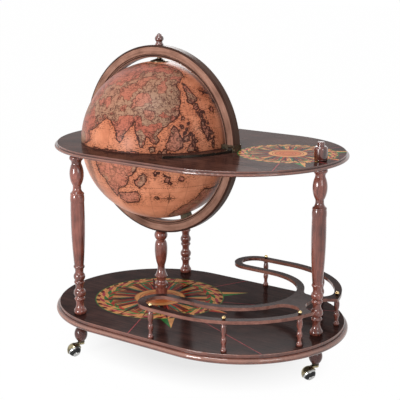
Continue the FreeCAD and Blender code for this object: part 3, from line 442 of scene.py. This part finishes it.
def rose(shader, colour, x, y, middle, radius):
    """A compass rose: a filled disc of tiled bands, rays across it and points past its rim."""
    distance, angle = shader.polar(x - middle[0], y - middle[1])

    def beyond(value, shares):
        """Goes from 0 to 1 between two shares of the radius."""
        return shader.rise(value, *(share * radius for share in shares))

    forward = beyond(x - middle[0], ROSE_FORWARD)
    pointed = rays(shader, colour, distance, angle)
    for row in ROSE_POINTS:
        pointed = spikes(shader, pointed, distance, angle, radius, row)
    colour = shader.mix(forward, colour, pointed)
    colour = shader.mix(beyond(distance, (ROSE_RIM, 1.0)), TAN, colour)
    for row in ROSE_BANDS:
        colour = tiles(shader, colour, distance, angle, radius, row)
    for row in ROSE_SPIKES:
        colour = spikes(shader, colour, distance, angle, radius, row)
    hub = shader.mix(beyond(distance, ROSE_HUB_FADE), ORANGE, TAN)
    colour = shader.mix(beyond(distance, ROSE_HUB), hub, colour)
    for share in ROSE_RINGS:
        colour = shader.mix(shader.line(distance, share * radius, RING_INK), colour, RUST)
    return shader.mix(shader.line(distance, ROSE_RIM * radius, RIM_INK), colour, GREEN)


# Depths below a board's face and where the painted arris highlight ends, and how far the air reaches into
# its edge's grooves for their painted shade
FACE_TOP = 1 * MM
FACE_END = 2 * MM
ARRIS_END = 2.5 * MM
EDGE_GROOVE = 6 * MM


def board(name, tones, height, lip, step, highlight_share, roses):
    """Dark lacquered board with inlaid roses on its face and a moulded edge, with a painted highlight along
    its lip and arris and painted shade in its grooves.
    """
    shader = Shader(name, ior=1.045, coat_roughness=0.08, coat_ior=1.7)
    position = shader.place()
    x, y, z = shader.split(position)
    plain, pores = grain(shader, position, "x", tones)
    colour = plain
    for middle, radius in roses:
        colour = rose(shader, colour, x, y, middle, radius)
    worn = shader.noise(position, scale=30.0, detail=5.0)
    colour = shader.paint(colour, plain, shader.rise(worn, 0.48, 0.75), share=0.25)
    upward = shader.normal()[2]
    face = shader.rise(upward, 0.90, 0.98) * shader.rise(z, height - FACE_END, height - FACE_TOP)
    # edge tones: partly the moulding's own stain, partly painted reflection
    edge, _ = grain(shader, position, "x", EDGE)
    depth = (height - step - z) / lip
    # painted highlight: a paler band along the upper part of the lip, half as strong on the arris
    painted_highlight = shader.rise(depth, 0.04, 0.18) * (1.0 - shader.rise(depth, 0.34, 0.60))
    arris_highlight = shader.rise(z, height - ARRIS_END, height - FACE_TOP) * 0.5
    edge = shader.paint(edge, EDGE_HIGHLIGHT, shader.most(painted_highlight, arris_highlight), highlight_share)
    # painted shade: ambient occlusion darkens the edge's grooves to the darkest board tone
    edge = shader.mix(shader.crease(EDGE_GROOVE, deep=0.35, bare=0.85), DARK[0], edge)
    under = shader.rise(upward, -0.98, -0.85)
    shader.set("Base Color", shader.mix(face, shader.mix(under, plain, edge), colour))
    shader.set("Coat Weight", (1.0 - face) * 0.9)
    smear = shader.noise(position, scale=22.0, detail=3.0)
    shader.set("Roughness", varied(0.14, smear, 0.10))
    shader.bump(pores, strength=0.02, depth=0.3 * MM)
    return shader.material


def rail_finish():
    """Gallery rail: dark glossy faces, and rounded sides whose paler tone is partly their own and partly
    painted sheen.
    """
    shader = Shader("rail_wood", ior=1.06, coat_roughness=0.08)
    position = shader.place()
    face, pores = grain(shader, position, "x", DARK)
    side, _ = grain(shader, position, "x", RAIL_SIDE)
    # the sides' paler tone: partly their own reddish wood and partly painted sheen
    level = shader.rise(abs(shader.normal()[2]), 0.6, 0.9)
    shader.set("Base Color", shader.mix(level, side, face))
    shader.set("Coat Weight", (1.0 - level) * 0.6)
    smear = shader.noise(position, scale=30.0, detail=3.0)
    shader.set("Roughness", varied(0.16, smear, 0.12))
    shader.bump(pores, strength=0.03, depth=0.3 * MM)
    return shader.material


# Meridian ring

# Distance from the inner edge and half width of the dark lines, and width of the dark outer edge
RING_LINES = ((5.0 * MM, 1.7 * MM), (10.5 * MM, 1.0 * MM))
RING_EDGE = 6.0 * MM
# Strength of the painted shade in the ring's grooves
RING_SHADE = 0.7
RING_MIDDLE = (RING_OUTER + RING_INNER) / 2
RING_FADE = 5 * MM
# How far the air reaches into the ring's grooves for their painted shade
RING_GROOVE = 8 * MM


def ring_wood():
    """Bent wood with dark lines along both edges of the faces, and painted shade in its grooves."""
    shader = Shader("ring_wood", ior=1.1)
    position = shader.place()
    x, y, z = shader.split(position)
    distance, angle = shader.polar(x - GLOBE_X, z - GLOBE_Z)
    bent = shader.join(angle * RING_OUTER, distance, y)
    colour, pores = grain(shader, bent, "x", RING)
    flat = shader.rise(abs(shader.normal()[1]), 0.4, 0.7)
    lines = shader.line(distance, RING_OUTER, RING_EDGE)
    for inset, half in RING_LINES:
        lines = shader.most(lines, shader.line(distance, RING_INNER + inset, half))
    colour = shader.paint(colour, RING_DARK, lines * flat, share=0.9)
    outside = shader.rise(distance, RING_MIDDLE, RING_MIDDLE + RING_FADE) * (1.0 - flat)
    colour = shader.paint(colour, RING_SIDE, outside, share=0.85)
    # painted shade: ambient occlusion darkens the ring's grooves
    groove = shader.crease(RING_GROOVE, deep=0.2, bare=0.8)
    colour = shader.mix(groove, shader.mix(RING_SHADE, colour, RING[0], "MULTIPLY"), colour)
    shader.set("Base Color", colour)
    shader.set("Roughness", varied(0.28, shader.noise(position, scale=30.0), 0.15))
    shader.bump(pores, strength=0.06, depth=0.4 * MM)
    return shader.material


# Metal and rubber

# Clean, tarnished and dirty colour, roughness, scale of the patches
METALS = {
    "black_bronze": (tone(58, 53, 48), tone(34, 32, 29), tone(12, 12, 11), 0.3, 60.0),
    "dark_bronze": (tone(86, 76, 62), tone(56, 54, 44), tone(18, 17, 15), 0.36, 60.0),
    "hood_bronze": (tone(172, 160, 126), tone(98, 90, 68), tone(24, 22, 18), 0.15, 50.0),
    "brass": (tone(226, 200, 150), tone(176, 140, 92), tone(62, 44, 24), 0.16, 60.0),
    "steel": (tone(190, 190, 188), tone(150, 148, 144), tone(60, 58, 56), 0.28, 140.0),
}
FINE_SCALE = 9
METAL_GROOVE = 5 * MM
RUBBER = tone(14, 14, 15)
RUBBER_DUST = tone(36, 34, 32)


def metal(name, clean, tarnished, dirt, roughness, scale):
    """Metal with tarnished patches, and dirt in its grooves."""
    shader = Shader(name, metallic=1.0)
    position = shader.place()
    patches = shader.noise(position, scale, detail=6.0, rough=0.6)
    colour = shader.mix(shader.rise(patches, 0.45, 0.70), clean, tarnished)
    groove = shader.crease(METAL_GROOVE, deep=0.2, bare=0.8)
    shader.set("Base Color", shader.mix(groove, dirt, colour))
    shader.set("Roughness", varied(roughness, patches, 0.25) + (1.0 - groove) * 0.2)
    shader.bump(shader.noise(position, scale * FINE_SCALE, detail=3.0), strength=0.05, depth=0.15 * MM)
    return shader.material


def rubber():
    """Dark rubber with dust on it."""
    shader = Shader("tyre", specular_ior_level=0.3)
    position = shader.place()
    dust = shader.noise(position, scale=90.0, detail=5.0)
    shader.set("Base Color", shader.mix(shader.rise(dust, 0.5, 0.8), RUBBER, RUBBER_DUST))
    shader.set("Roughness", 0.42 + dust * 0.2)
    shader.bump(shader.noise(position, scale=900.0, detail=2.0), strength=0.1, depth=0.2 * MM)
    return shader.material


# Printed globe

WATER = (tone(160, 95, 68), tone(184, 115, 84), tone(198, 132, 101))
WATER_STOPS = (0.34, 0.52, 0.68)
SHORE = tone(150, 78, 48)
LAND = (
    tone(162, 94, 78), tone(156, 104, 84), tone(152, 82, 66), tone(148, 112, 90), tone(134, 108, 88),
)
LAND_STOPS = (0.08, 0.30, 0.52, 0.74, 0.95)
LAND_RIM = tone(140, 70, 52)
HILL = tone(74, 42, 34)
COAST_INK = tone(56, 28, 22)
# The first browns the print and also paints shade on the upper half; the second paints light on the lower
# half
AGED_AND_SHADE = tone(120, 68, 52)
PAINTED_LOWER_LIGHT = tone(222, 156, 122)
# Scale and number of the realms, and what picks their tints
REALM_SCALE = 7.0
REALM_STEPS = 15.0
REALM_PICK = 0.377
PLACE_PICK = 0.6
# Lines of the grid and the tropics, in degrees
LINE_STEP = 15.0
TROPIC = 26.0
TROPIC_DOTS = 40.0
COAST_SHIFT = 30 * MM
SHORE_WIDTH = 14 * MM
LAND_RIM_WIDTH = 9 * MM
# Where the marks near a coast thin out, and where they end
MARKS_THIN = 5 * MM
MARKS_END = 30 * MM
MARK_LENGTH = 420.0
MARK_WIDTH = 150.0
# Heights over the globe's middle between which painted shade darkens the print above and painted light makes
# it paler below
PAINTED_LIGHT_LOW = -30 * MM
PAINTED_LIGHT_HIGH = 90 * MM
GRID_INK = 0.5 * MM
TROPIC_INK = 1.1 * MM
COAST_LINE = 2.0 * MM
COAST_SOFT = 0.6 * MM
COAST_EDGE = 0.3 * MM
SEAM_INK = 1.2 * MM
SEAM_END = 3.0 * MM
# Wind stars: longitude and latitude in degrees, size in millimetres
STARS = (
    (-20.0, 16.0, 17.0), (-44.0, -36.0, 30.0), (38.0, 8.0, 20.0), (150.0, -28.0, 20.0),
    (-150.0, -40.0, 22.0),
)
STAR_WAIST = 3.0
STAR_SHORTER = 0.7
STAR_EDGE = 0.4 * MM
STAR_RING = 0.55
STAR_RING_INK = 0.6 * MM


def direction(longitude, latitude):
    lon, lat = math.radians(longitude), math.radians(latitude)
    return Vector((math.cos(lat) * math.cos(lon), math.cos(lat) * math.sin(lon), math.sin(lat)))


def along(parts, vector):
    return parts[0] * vector.x + parts[1] * vector.y + parts[2] * vector.z


def star(shader, parts, longitude, latitude, size):
    """A small wind star drawn on the globe: 1 on its ink."""
    outward = direction(longitude, latitude)
    east = direction(longitude + 90.0, 0.0)
    north = outward.cross(east)
    distance, angle = shader.polar(along(parts, east), along(parts, north))
    arm = abs(sector(shader, angle, 8)) * 2.0
    long_arm = abs(sector(shader, angle, 4)) * 2.0
    reach = size * MM / ((1.0 + STAR_WAIST * arm) * (1.0 + STAR_SHORTER * long_arm))
    near = shader.rise(along(parts, outward), 0.0, 0.01)
    ink = 1.0 - shader.rise(distance - reach, -STAR_EDGE, STAR_EDGE)
    ring = shader.line(distance, size * STAR_RING * MM, STAR_RING_INK)
    return shader.most(ink, ring) * near


def waters(shader, coast, mottle):
    """Mottled water, darker along the coasts."""
    water = shader.ramp(mottle, *zip(WATER_STOPS, WATER))
    return shader.paint(water, SHORE, shader.rise(coast, -SHORE_WIDTH, 0.0), share=0.45)


def grounds(shader, position, coast):
    """Land in realms of like tints, with hills, borders and rivers."""
    realms = shader.noise(position, REALM_SCALE, detail=7.0) * REALM_STEPS
    chosen = shader.math("FLOOR", realms) * REALM_PICK + shader.attribute("tint") * PLACE_PICK
    ground = shader.ramp(shader.math("FRACT", chosen), *zip(LAND_STOPS, LAND))
    blush = shader.noise(position, scale=10.0, detail=3.0)
    ground = shader.paint(ground, LAND[0], shader.rise(blush, 0.48, 0.70), share=0.3)
    hills = shader.noise(position, scale=120.0, detail=6.0, rough=0.75)
    ground = shader.paint(ground, HILL, shader.rise(hills, 0.50, 0.62), share=0.75)
    rim = 1.0 - shader.rise(coast, 0.0, LAND_RIM_WIDTH)
    ground = shader.paint(ground, LAND_RIM, rim, share=0.35)
    border = shader.line(abs(shader.offset(realms)), 0.0, 0.06, soft=0.03)
    ground = shader.paint(ground, COAST_INK, border, share=0.85)
    course = shader.noise(position, scale=24.0, detail=8.0, rough=0.6)
    return shader.paint(ground, COAST_INK, shader.line(course, 0.5, 0.013, soft=0.004), share=0.8)


def aged_with_painted_light(shader, colour, position, coast, height):
    """Browned print, with painted shade towards the top and painted light towards the bottom, and many small
    marks near the coasts.
    """
    age = shader.noise(position, scale=7.0)
    # painted shade darkens the upper half and painted light makes the lower half paler
    painted_shade_above = shader.rise(height, PAINTED_LIGHT_LOW, PAINTED_LIGHT_HIGH)
    colour = shader.mix(shader.rise(age, 0.48, 0.75) * 0.35 + painted_shade_above * 0.14, colour, AGED_AND_SHADE)
    colour = shader.paint(colour, PAINTED_LOWER_LIGHT, 1.0 - painted_shade_above, share=0.16)
    scratched = stretched(shader, position, "z", MARK_LENGTH, MARK_WIDTH)
    marks = shader.rise(shader.noise(scratched, scale=1.0, detail=3.0, rough=0.6), 0.51, 0.58)
    near_coast = 1.0 - shader.rise(abs(coast), MARKS_THIN, MARKS_END)
    return shader.mix(marks * (near_coast * 0.75 + 0.10), colour, COAST_INK)


def drawn(shader, colour, parts, coast):
    """The map's lines: grid, dotted tropics, coasts, wind stars and the seam between the halves."""
    longitude = shader.math("ARCTAN2", parts[1], parts[0])
    latitude = shader.math("ARCSINE", parts[2] / GLOBE_RADIUS)
    step = math.radians(LINE_STEP)
    parallel = abs(shader.offset(latitude / step)) * (step * GLOBE_RADIUS)
    meridian = abs(shader.offset(longitude / step)) * (step * GLOBE_RADIUS)
    meridian = meridian * shader.math("COSINE", latitude)
    grid = shader.most(shader.line(meridian, 0.0, GRID_INK), shader.line(parallel, 0.0, GRID_INK))
    colour = shader.paint(colour, COAST_INK, grid, share=0.5)
    tropic = shader.line((abs(latitude) - math.radians(TROPIC)) * GLOBE_RADIUS, 0.0, TROPIC_INK)
    dots = shader.math("GREATER_THAN", shader.math("FRACT", longitude * TROPIC_DOTS), 0.45)
    colour = shader.paint(colour, COAST_INK, tropic * dots, share=0.8)
    colour = shader.mix(shader.line(coast, 0.0, COAST_LINE, COAST_SOFT), colour, COAST_INK)
    ink = 0.0
    for row in STARS:
        ink = shader.most(ink, star(shader, parts, *row))
    colour = shader.paint(colour, COAST_INK, ink, share=0.85)
    seam = 1.0 - shader.rise(abs(parts[2]), SEAM_INK, SEAM_END)
    return shader.paint(colour, COAST_INK, seam, share=0.8)


def globe_print():
    """Varnished antique style map: waters, lands with inked coasts, grid and wind stars."""
    shader = Shader("globe_print", ior=1.22)
    position = shader.place()
    x, y, z = shader.split(position)
    parts = (x - GLOBE_X, y, z - GLOBE_Z)
    ragged = shader.noise(position, scale=36.0, detail=9.0, rough=0.68)
    coast = varied(shader.attribute("coast"), ragged, COAST_SHIFT)
    land = shader.rise(coast, -COAST_EDGE, COAST_EDGE)
    mottle = shader.noise(position, scale=16.0, detail=7.0, rough=0.65)
    colour = shader.mix(land, waters(shader, coast, mottle), grounds(shader, position, coast))
    colour = aged_with_painted_light(shader, colour, position, coast, parts[2])
    shader.set("Base Color", drawn(shader, colour, parts, coast))
    shader.set("Roughness", varied(0.36, mottle, 0.2))
    shader.bump(ragged, strength=0.04, depth=0.3 * MM)
    return shader.material


# Lands as longitude and latitude, in degrees, drawn
LANDS = (
    # great northern land
    (
        (-15, 67), (-18, 59), (-27, 54), (-34, 51), (-32, 44), (-34, 36), (-36, 30), (-38, 25), (-45, 20),
        (-50, 17), (-54, 13), (-51, 10), (-54, 7), (-57, 8), (-61, 12), (-62, 7), (-65, 4), (-67, 11),
        (-69, 16), (-70, 22), (-73, 18), (-77, 13), (-80, 6), (-83, 9), (-86, 16), (-91, 22), (-95, 23),
        (-100, 18), (-112, 12), (-111, 5), (-117, 2), (-132, -3), (-150, 4), (-166, 18), (-182, 38),
        (-178, 60), (-150, 72), (-100, 80), (-50, 79), (-25, 74),
    ),
    # southern cape, island beside it, cold south and land below the cape
    (
        (-107, 1), (-103, -16), (-98, -23), (-94, -31), (-92, -36), (-87, -29), (-79, -25), (-75, -18),
        (-70, -13), (-68, -7), (-66, 1),
    ),
    ((-71, -20), (-66, -16), (-63, -14), (-61, -17), (-63, -23), (-68, -26), (-70, -24)),
    (
        (12, -22), (-1, -30), (-14, -29), (-18, -37), (-23, -43), (-31, -48), (-39, -59), (-34, -68),
        (-8, -75), (30, -72), (52, -60), (46, -44), (32, -30),
    ),
    ((-87, -32), (-70, -29), (-68, -34), (-71, -40), (-84, -43), (-90, -38)),
    # islands off the eastern coast
    ((-25, 52), (-21, 45), (-17, 38), (-24, 33), (-27, 36), (-26, 44)),
    ((-48, 6), (-42, 19), (-38, 15), (-36, 8), (-36, 4), (-42, 2), (-46, 3)),
    # two lands on the far side
    (
        (60, 68), (88, 66), (108, 58), (122, 46), (112, 32), (100, 24), (94, 12), (102, 4), (118, -6),
        (124, -16), (112, -30), (102, -46), (95, -44), (96, -24), (88, -8), (82, 6), (74, 20), (58, 30),
        (46, 44), (48, 58),
    ),
    ((20, 62), (34, 70), (40, 60), (30, 50), (22, 52)),
)
# Waters inside the lands
SEAS = (
    ((70, 52), (82, 56), (86, 48), (76, 44)),
)
# Single islands: longitude, latitude and size, in degrees
ISLANDS = (
    (-57, 3, 2.0), (-33, 10, 2.2), (-30, 3, 2.6), (-12, 12, 1.8), (-6, 28, 2.0), (-8, -12, 2.2),
    (-25, -14, 2.4), (-36, -18, 2.0), (-55, -35, 1.5), (20, 20, 3.0), (35, -15, 3.0), (150, 10, 3.0),
    (165, -20, 3.5), (140, -35, 2.5), (14, 40, 3.0), (-60, -8, 1.5), (135, 30, 3.5), (160, 45, 2.5),
)
# Chains of small islands: from, to, how many, how far they scatter, in degrees
CHAINS = (
    ((-20, 32), (-12, 3), 44, 3.0), ((-34, 22), (-26, 2), 24, 2.5), ((-8, 46), (2, 32), 16, 2.5),
    ((-52, 2), (-38, -4), 14, 2.0), ((12, 8), (30, -8), 20, 4.0), ((130, 8), (170, 26), 28, 5.0),
    ((150, -12), (172, -36), 18, 4.0), ((-56, -12), (-42, -22), 10, 2.0),
)
# Tint of the land near a place, from pink over red and grey to brown
TINTS = (
    (-60, 60, 0.05), (-59, 32, 0.40), (-41, 38, 0.62), (-79, 25, 0.36), (-100, 30, 0.15), (-42, 10, 0.55),
    (-22, 42, 0.10), (-88, -15, 0.20), (-66, -20, 0.66), (-15, -45, 0.92), (-80, -38, 0.36), (-120, 10, 0.5),
    (-150, 40, 0.1), (-100, 65, 0.2), (90, 40, 0.15), (105, 0, 0.62), (105, -35, 0.38), (60, 55, 0.4),
    (-100, -70, 0.95), (100, -66, 0.9),
)
ISLAND_CORNERS = 9
# Least reach of an island's corner in shares of its size, and how much chance adds
CORNER_LEAST, CORNER_MORE = 0.7, 0.6
# Least size of an island in a chain, in degrees, and how much chance adds
CHAIN_LEAST, CHAIN_MORE = 0.5, 0.9
EDGE_STEPS = 4
FAR = 9.0
# The field of the coasts stops at this distance, in metres
COAST_REACH = 0.08
CHAIN_SEED = 11
TINT_FOCUS = 22


def sphere_points(longitude, latitude):
    lon, lat = np.radians(longitude), np.radians(latitude)
    return np.stack((np.cos(lat) * np.cos(lon), np.cos(lat) * np.sin(lon), np.sin(lat)), axis=-1)


def island_outline(longitude, latitude, size, chance):
    corners = []
    for number in range(ISLAND_CORNERS):
        angle = TURN * number / ISLAND_CORNERS
        reach = size * (CORNER_LEAST + CORNER_MORE * chance.random())
        corners.append((longitude + reach * math.cos(angle), latitude + reach * math.sin(angle)))
    return corners


def signed_distance(points, longitude, latitude, outline):
    """How far points of the unit sphere lie inside an outline; negative outside."""
    corners = np.array(outline, float)
    following = np.roll(corners, -1, axis=0)
    inside = np.zeros(len(points), bool)
    for shift in (-360.0, 0.0):
        lon = longitude + shift
        for (x0, y0), (x1, y1) in zip(corners, following):
            if y0 != y1:
                crosses = (latitude < y0) != (latitude < y1)
                inside ^= crosses & (lon < x0 + (latitude - y0) * (x1 - x0) / (y1 - y0))
    steps = np.linspace(0, 1, EDGE_STEPS, endpoint=False)[:, None]
    dense = np.concatenate([a + (b - a) * steps for a, b in zip(corners, following)])
    path = sphere_points(dense[:, 0], dense[:, 1])
    nearest = np.full(len(points), FAR)
    for start, end in zip(path, np.roll(path, -1, axis=0)):
        run = end - start
        share = np.clip((points - start) @ run / max(run @ run, 1e-9), 0, 1)
        nearest = np.minimum(nearest, np.linalg.norm(points - start - share[:, None] * run, axis=1))
    return np.where(inside, nearest, -nearest)


def scattered_islands(chance):
    """The single islands, and those of the chains, as longitude, latitude and size."""
    islands = list(ISLANDS)
    for start, end, count, scatter in CHAINS:
        for number in range(count):
            share = number / (count - 1)
            place = [a + (b - a) * share + scatter * (2 * chance.random() - 1) for a, b in zip(start, end)]
            islands.append((*place, CHAIN_LEAST + CHAIN_MORE * chance.random()))
    return islands


def coast_field(points):
    """Distance inside the lands, in metres; negative on water."""
    longitude = np.degrees(np.arctan2(points[:, 1], points[:, 0]))
    latitude = np.degrees(np.arcsin(np.clip(points[:, 2], -1, 1)))
    chance = random.Random(CHAIN_SEED)
    islands = scattered_islands(chance)
    outlines = list(LANDS) + [island_outline(*island, chance) for island in islands]
    coast = np.full(len(points), -FAR)
    for outline in outlines:
        coast = np.maximum(coast, signed_distance(points, longitude, latitude, outline))
    for outline in SEAS:
        coast = np.minimum(coast, -signed_distance(points, longitude, latitude, outline))
    return np.clip(coast * GLOBE_RADIUS, -COAST_REACH, COAST_REACH)


def tint_field(points):
    """Tint of the land, as a mean of the places near by."""
    weights = np.zeros(len(points))
    total = np.zeros(len(points))
    for longitude, latitude, tint in TINTS:
        near = points @ sphere_points(longitude, latitude)
        weight = np.exp((near - 1) * TINT_FOCUS)
        weights += weight
        total += weight * tint
    return total / np.maximum(weights, 1e-12)


GLOBE_COLUMNS = 420
OUTER_ROWS = 104
INNER_ROWS = 26
SHARP_ANGLE = math.radians(40)
# Places of the two materials in a half shell
PRINT, LINING = 0, 1


def half_globe(name, rim_height, pole):
    """Half shell of the globe, with a map on its outside and lining inside."""
    angles = np.arange(GLOBE_COLUMNS) * TURN / GLOBE_COLUMNS
    points = []
    faces = []
    kinds = []

    def surface(radius, rows, kind, outward):
        """Adds a half sphere, and gives the number of its first point."""
        start = math.asin((rim_height - GLOBE_Z) / radius)
        first = len(points)
        for row in range(rows):
            lat = start + (pole * math.pi / 2 - start) * row / rows
            level, height = math.cos(lat) * radius, math.sin(lat) * radius
            points.extend((math.cos(angle) * level, math.sin(angle) * level, height) for angle in angles)
        points.append((0.0, 0.0, pole * radius))
        last = len(points) - 1
        for row in range(rows):
            low = first + row * GLOBE_COLUMNS
            high = low + GLOBE_COLUMNS
            for column in range(GLOBE_COLUMNS):
                beside = (column + 1) % GLOBE_COLUMNS
                if row < rows - 1:
                    face = (low + column, low + beside, high + beside, high + column)
                else:
                    face = (low + column, low + beside, last)
                faces.append(face if outward == (pole > 0) else face[::-1])
                kinds.append(kind)
        return first

    outer = surface(GLOBE_RADIUS, OUTER_ROWS, PRINT, True)
    outer_count = len(points)
    inner = surface(SHELL_INNER, INNER_ROWS, LINING, False)
    for column in range(GLOBE_COLUMNS):
        beside = (column + 1) % GLOBE_COLUMNS
        face = (outer + beside, outer + column, inner + column, inner + beside)
        faces.append(face if pole > 0 else face[::-1])
        kinds.append(LINING)
    places = np.array(points)
    unit = places / np.linalg.norm(places, axis=1)[:, None]
    coast = np.full(len(points), -COAST_REACH)
    tint = np.zeros(len(points))
    coast[:outer_count] = coast_field(unit[:outer_count])
    tint[:outer_count] = tint_field(unit[:outer_count])
    mesh = bpy.data.meshes.new(name)
    mesh.from_pydata([tuple(p) for p in places + np.array((GLOBE_X, 0, GLOBE_Z))], [], faces)
    mesh.polygons.foreach_set("material_index", kinds)
    mesh.shade_smooth()
    mesh.set_sharp_from_angle(angle=SHARP_ANGLE)
    for label, values in (("coast", coast), ("tint", tint)):
        mesh.attributes.new(label, "FLOAT", "POINT").data.foreach_set("value", values.astype(np.float32))
    made = bpy.data.objects.new(name, mesh)
    scene.collection.objects.link(made)
    return made


# Finishes of the CAD nodes

# Middle and radius of each board's rose
SHELF_ROSE = ((-0.158, 0.0), 0.212)
TABLE_ROSE = ((0.302, 0.040), 0.150)

finishes = {name: metal(name, *row) for name, row in METALS.items()}
finishes |= {
    "mahogany": wood("mahogany", "z", MAHOGANY, coat=0.9, ior=1.25, coat_ior=1.55),
    "knob_wood": wood("knob_wood", "z", KNOB, coat=1.0, ior=1.3, coat_ior=1.7),
    "shaded_foot_wood": wood("shaded_foot_wood", "z", SHADED_FOOT, coat=0.2, ior=1.35),
    "insert_wood": wood("insert_wood", "x", INSERT, roughness=0.3, coat=0.3),
    "rail_wood": rail_finish(),
    "ring_wood": ring_wood(),
    "globe_print": globe_print(),
    "tyre": rubber(),
    "dark_wood": board(
        "shelf_wood", DARK, SHELF_FACE, lip=18 * MM, step=10 * MM, highlight_share=0.48, roses=(SHELF_ROSE,),
    ),
    "table_wood": board(
        "table_wood", TABLE_DARK, TABLE_FACE, lip=8 * MM, step=6 * MM, highlight_share=0.25, roses=(TABLE_ROSE,),
    ),
}
# Nodes with another finish than their slot's
own_finish = {
    "table_top": "table_wood",
    "finial": "knob_wood",
    "leg_finial": "knob_wood",
    "lid_stay": "black_bronze",
}
for leg in ("front_left", "rear_left", "right"):
    # the bun feet take the darker wood, whose tones are painted shade under the shelf
    own_finish[f"bun_foot_{leg}"] = "shaded_foot_wood"
    own_finish[f"caster_socket_{leg}"] = "dark_bronze"
for name, piece in nodes.items():
    finish = finishes[own_finish.get(name, slot_of[name])]
    if not piece.material_slots:
        piece.data.materials.append(finish)
    for slot in piece.material_slots:
        slot.material = finish

for name, body, pole in (("globe_lower", "stand", -1), ("globe_upper", "lid", 1)):
    low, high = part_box(name)
    shell = half_globe(f"{name}_print", high.z if pole < 0 else low.z, pole)
    shell.data.materials.append(finishes["globe_print"])
    shell.data.materials.append(finishes["insert_wood"])
    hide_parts(name)
    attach(shell, body)


# Studio

WHITE = (1.0, 1.0, 1.0)
SKY_LIGHT = 0.60
FLOOR_SIDE = 40.0
FLOOR_COLOUR = (0.95, 0.95, 0.95)
FLOOR_SQUEEZE = 0.7
# Near and far distance from the object, and the share of plain white at each
FLOOR_FADE = (0.16, 0.32, 0.72, 0.99)


def light_path(tree):
    """1 for rays from the camera, and for mirrored and transmitted ones."""
    path = tree.add("ShaderNodeLightPath")
    seen = Field(tree, path.outputs["Is Camera Ray"])
    for name in ("Is Glossy Ray", "Is Transmission Ray"):
        seen = tree.most(seen, Field(tree, path.outputs[name]))
    return seen


def make_floor():
    """A floor that takes a shadow near the object and is plain white further off."""
    half = FLOOR_SIDE / 2
    mesh = bpy.data.meshes.new("floor")
    corners = [(-half, -half), (half, -half), (half, half), (-half, half)]
    mesh.from_pydata([(x, y, cad_box[0].z) for x, y in corners], [], [(0, 1, 2, 3)])
    floor = bpy.data.objects.new("floor", mesh)
    scene.collection.objects.link(floor)
    material = bpy.data.materials.new("floor")
    tree = Tree(material)
    x, y, _ = tree.split(tree.place())
    across = x * FLOOR_SQUEEZE
    away = tree.math("SQRT", across * across + y * y)
    share = light_path(tree) * tree.span(away, *FLOOR_FADE)
    matt = tree.make("ShaderNodeBsdfDiffuse", {"Color": FLOOR_COLOUR})
    glow = tree.make("ShaderNodeEmission", {"Color": WHITE})
    tree.close("ShaderNodeOutputMaterial", tree.blend(share, matt, glow))
    mesh.materials.append(material)


def make_world():
    """Soft light from all sides that is seen as plain white."""
    world = bpy.data.worlds.new("studio")
    scene.world = world
    tree = Tree(world)
    soft = tree.make("ShaderNodeBackground", {"Color": WHITE, "Strength": SKY_LIGHT})
    plain = tree.make("ShaderNodeBackground", {"Color": WHITE, "Strength": 1.0})
    tree.close("ShaderNodeOutputWorld", tree.blend(light_path(tree), soft, plain))


# Name, place, side of the square and power
LAMPS = (
    ("key", (0.2, -1.4, 3.0), 1.2, 47.0),
    ("front", (-0.6, -3.4, 0.8), 0.9, 84.0),
    ("fill", (3.0, -1.4, 1.2), 1.2, 20.0),
    ("back", (-1.8, 2.6, 2.2), 1.4, 34.0),
)
LAMP_AIM = Vector((0.0, 0.0, 0.5))


def make_lamps():
    for name, place, side, power in LAMPS:
        lamp = bpy.data.lights.new(name, "AREA")
        lamp.shape = "SQUARE"
        lamp.size = side
        lamp.energy = power
        holder = bpy.data.objects.new(name, lamp)
        holder.location = place
        holder.rotation_euler = (LAMP_AIM - Vector(place)).to_track_quat("-Z", "Y").to_euler()
        scene.collection.objects.link(holder)


# Fitted to the photograph: place and direction of view in metres, lens in millimetres
CAMERA_PLACE = Vector((1.9245, -2.6031, 1.2507))
CAMERA_AIM = Vector((-0.5773, 0.7837, -0.2292))
CAMERA_LENS = 95.2
CAMERA_SENSOR = 36.0
CAMERA_REACH = 100.0


def make_camera():
    camera = bpy.data.cameras.new("camera")
    camera.lens = CAMERA_LENS
    camera.sensor_width = CAMERA_SENSOR
    camera.sensor_fit = "HORIZONTAL"
    camera.clip_end = CAMERA_REACH
    holder = bpy.data.objects.new("camera", camera)
    holder.location = CAMERA_PLACE
    holder.rotation_euler = CAMERA_AIM.to_track_quat("-Z", "Y").to_euler()
    scene.collection.objects.link(holder)
    scene.camera = holder


make_floor()
make_world()
make_lamps()
make_camera()
scene.view_settings.view_transform = "Standard"

bpy.context.view_layer.update()
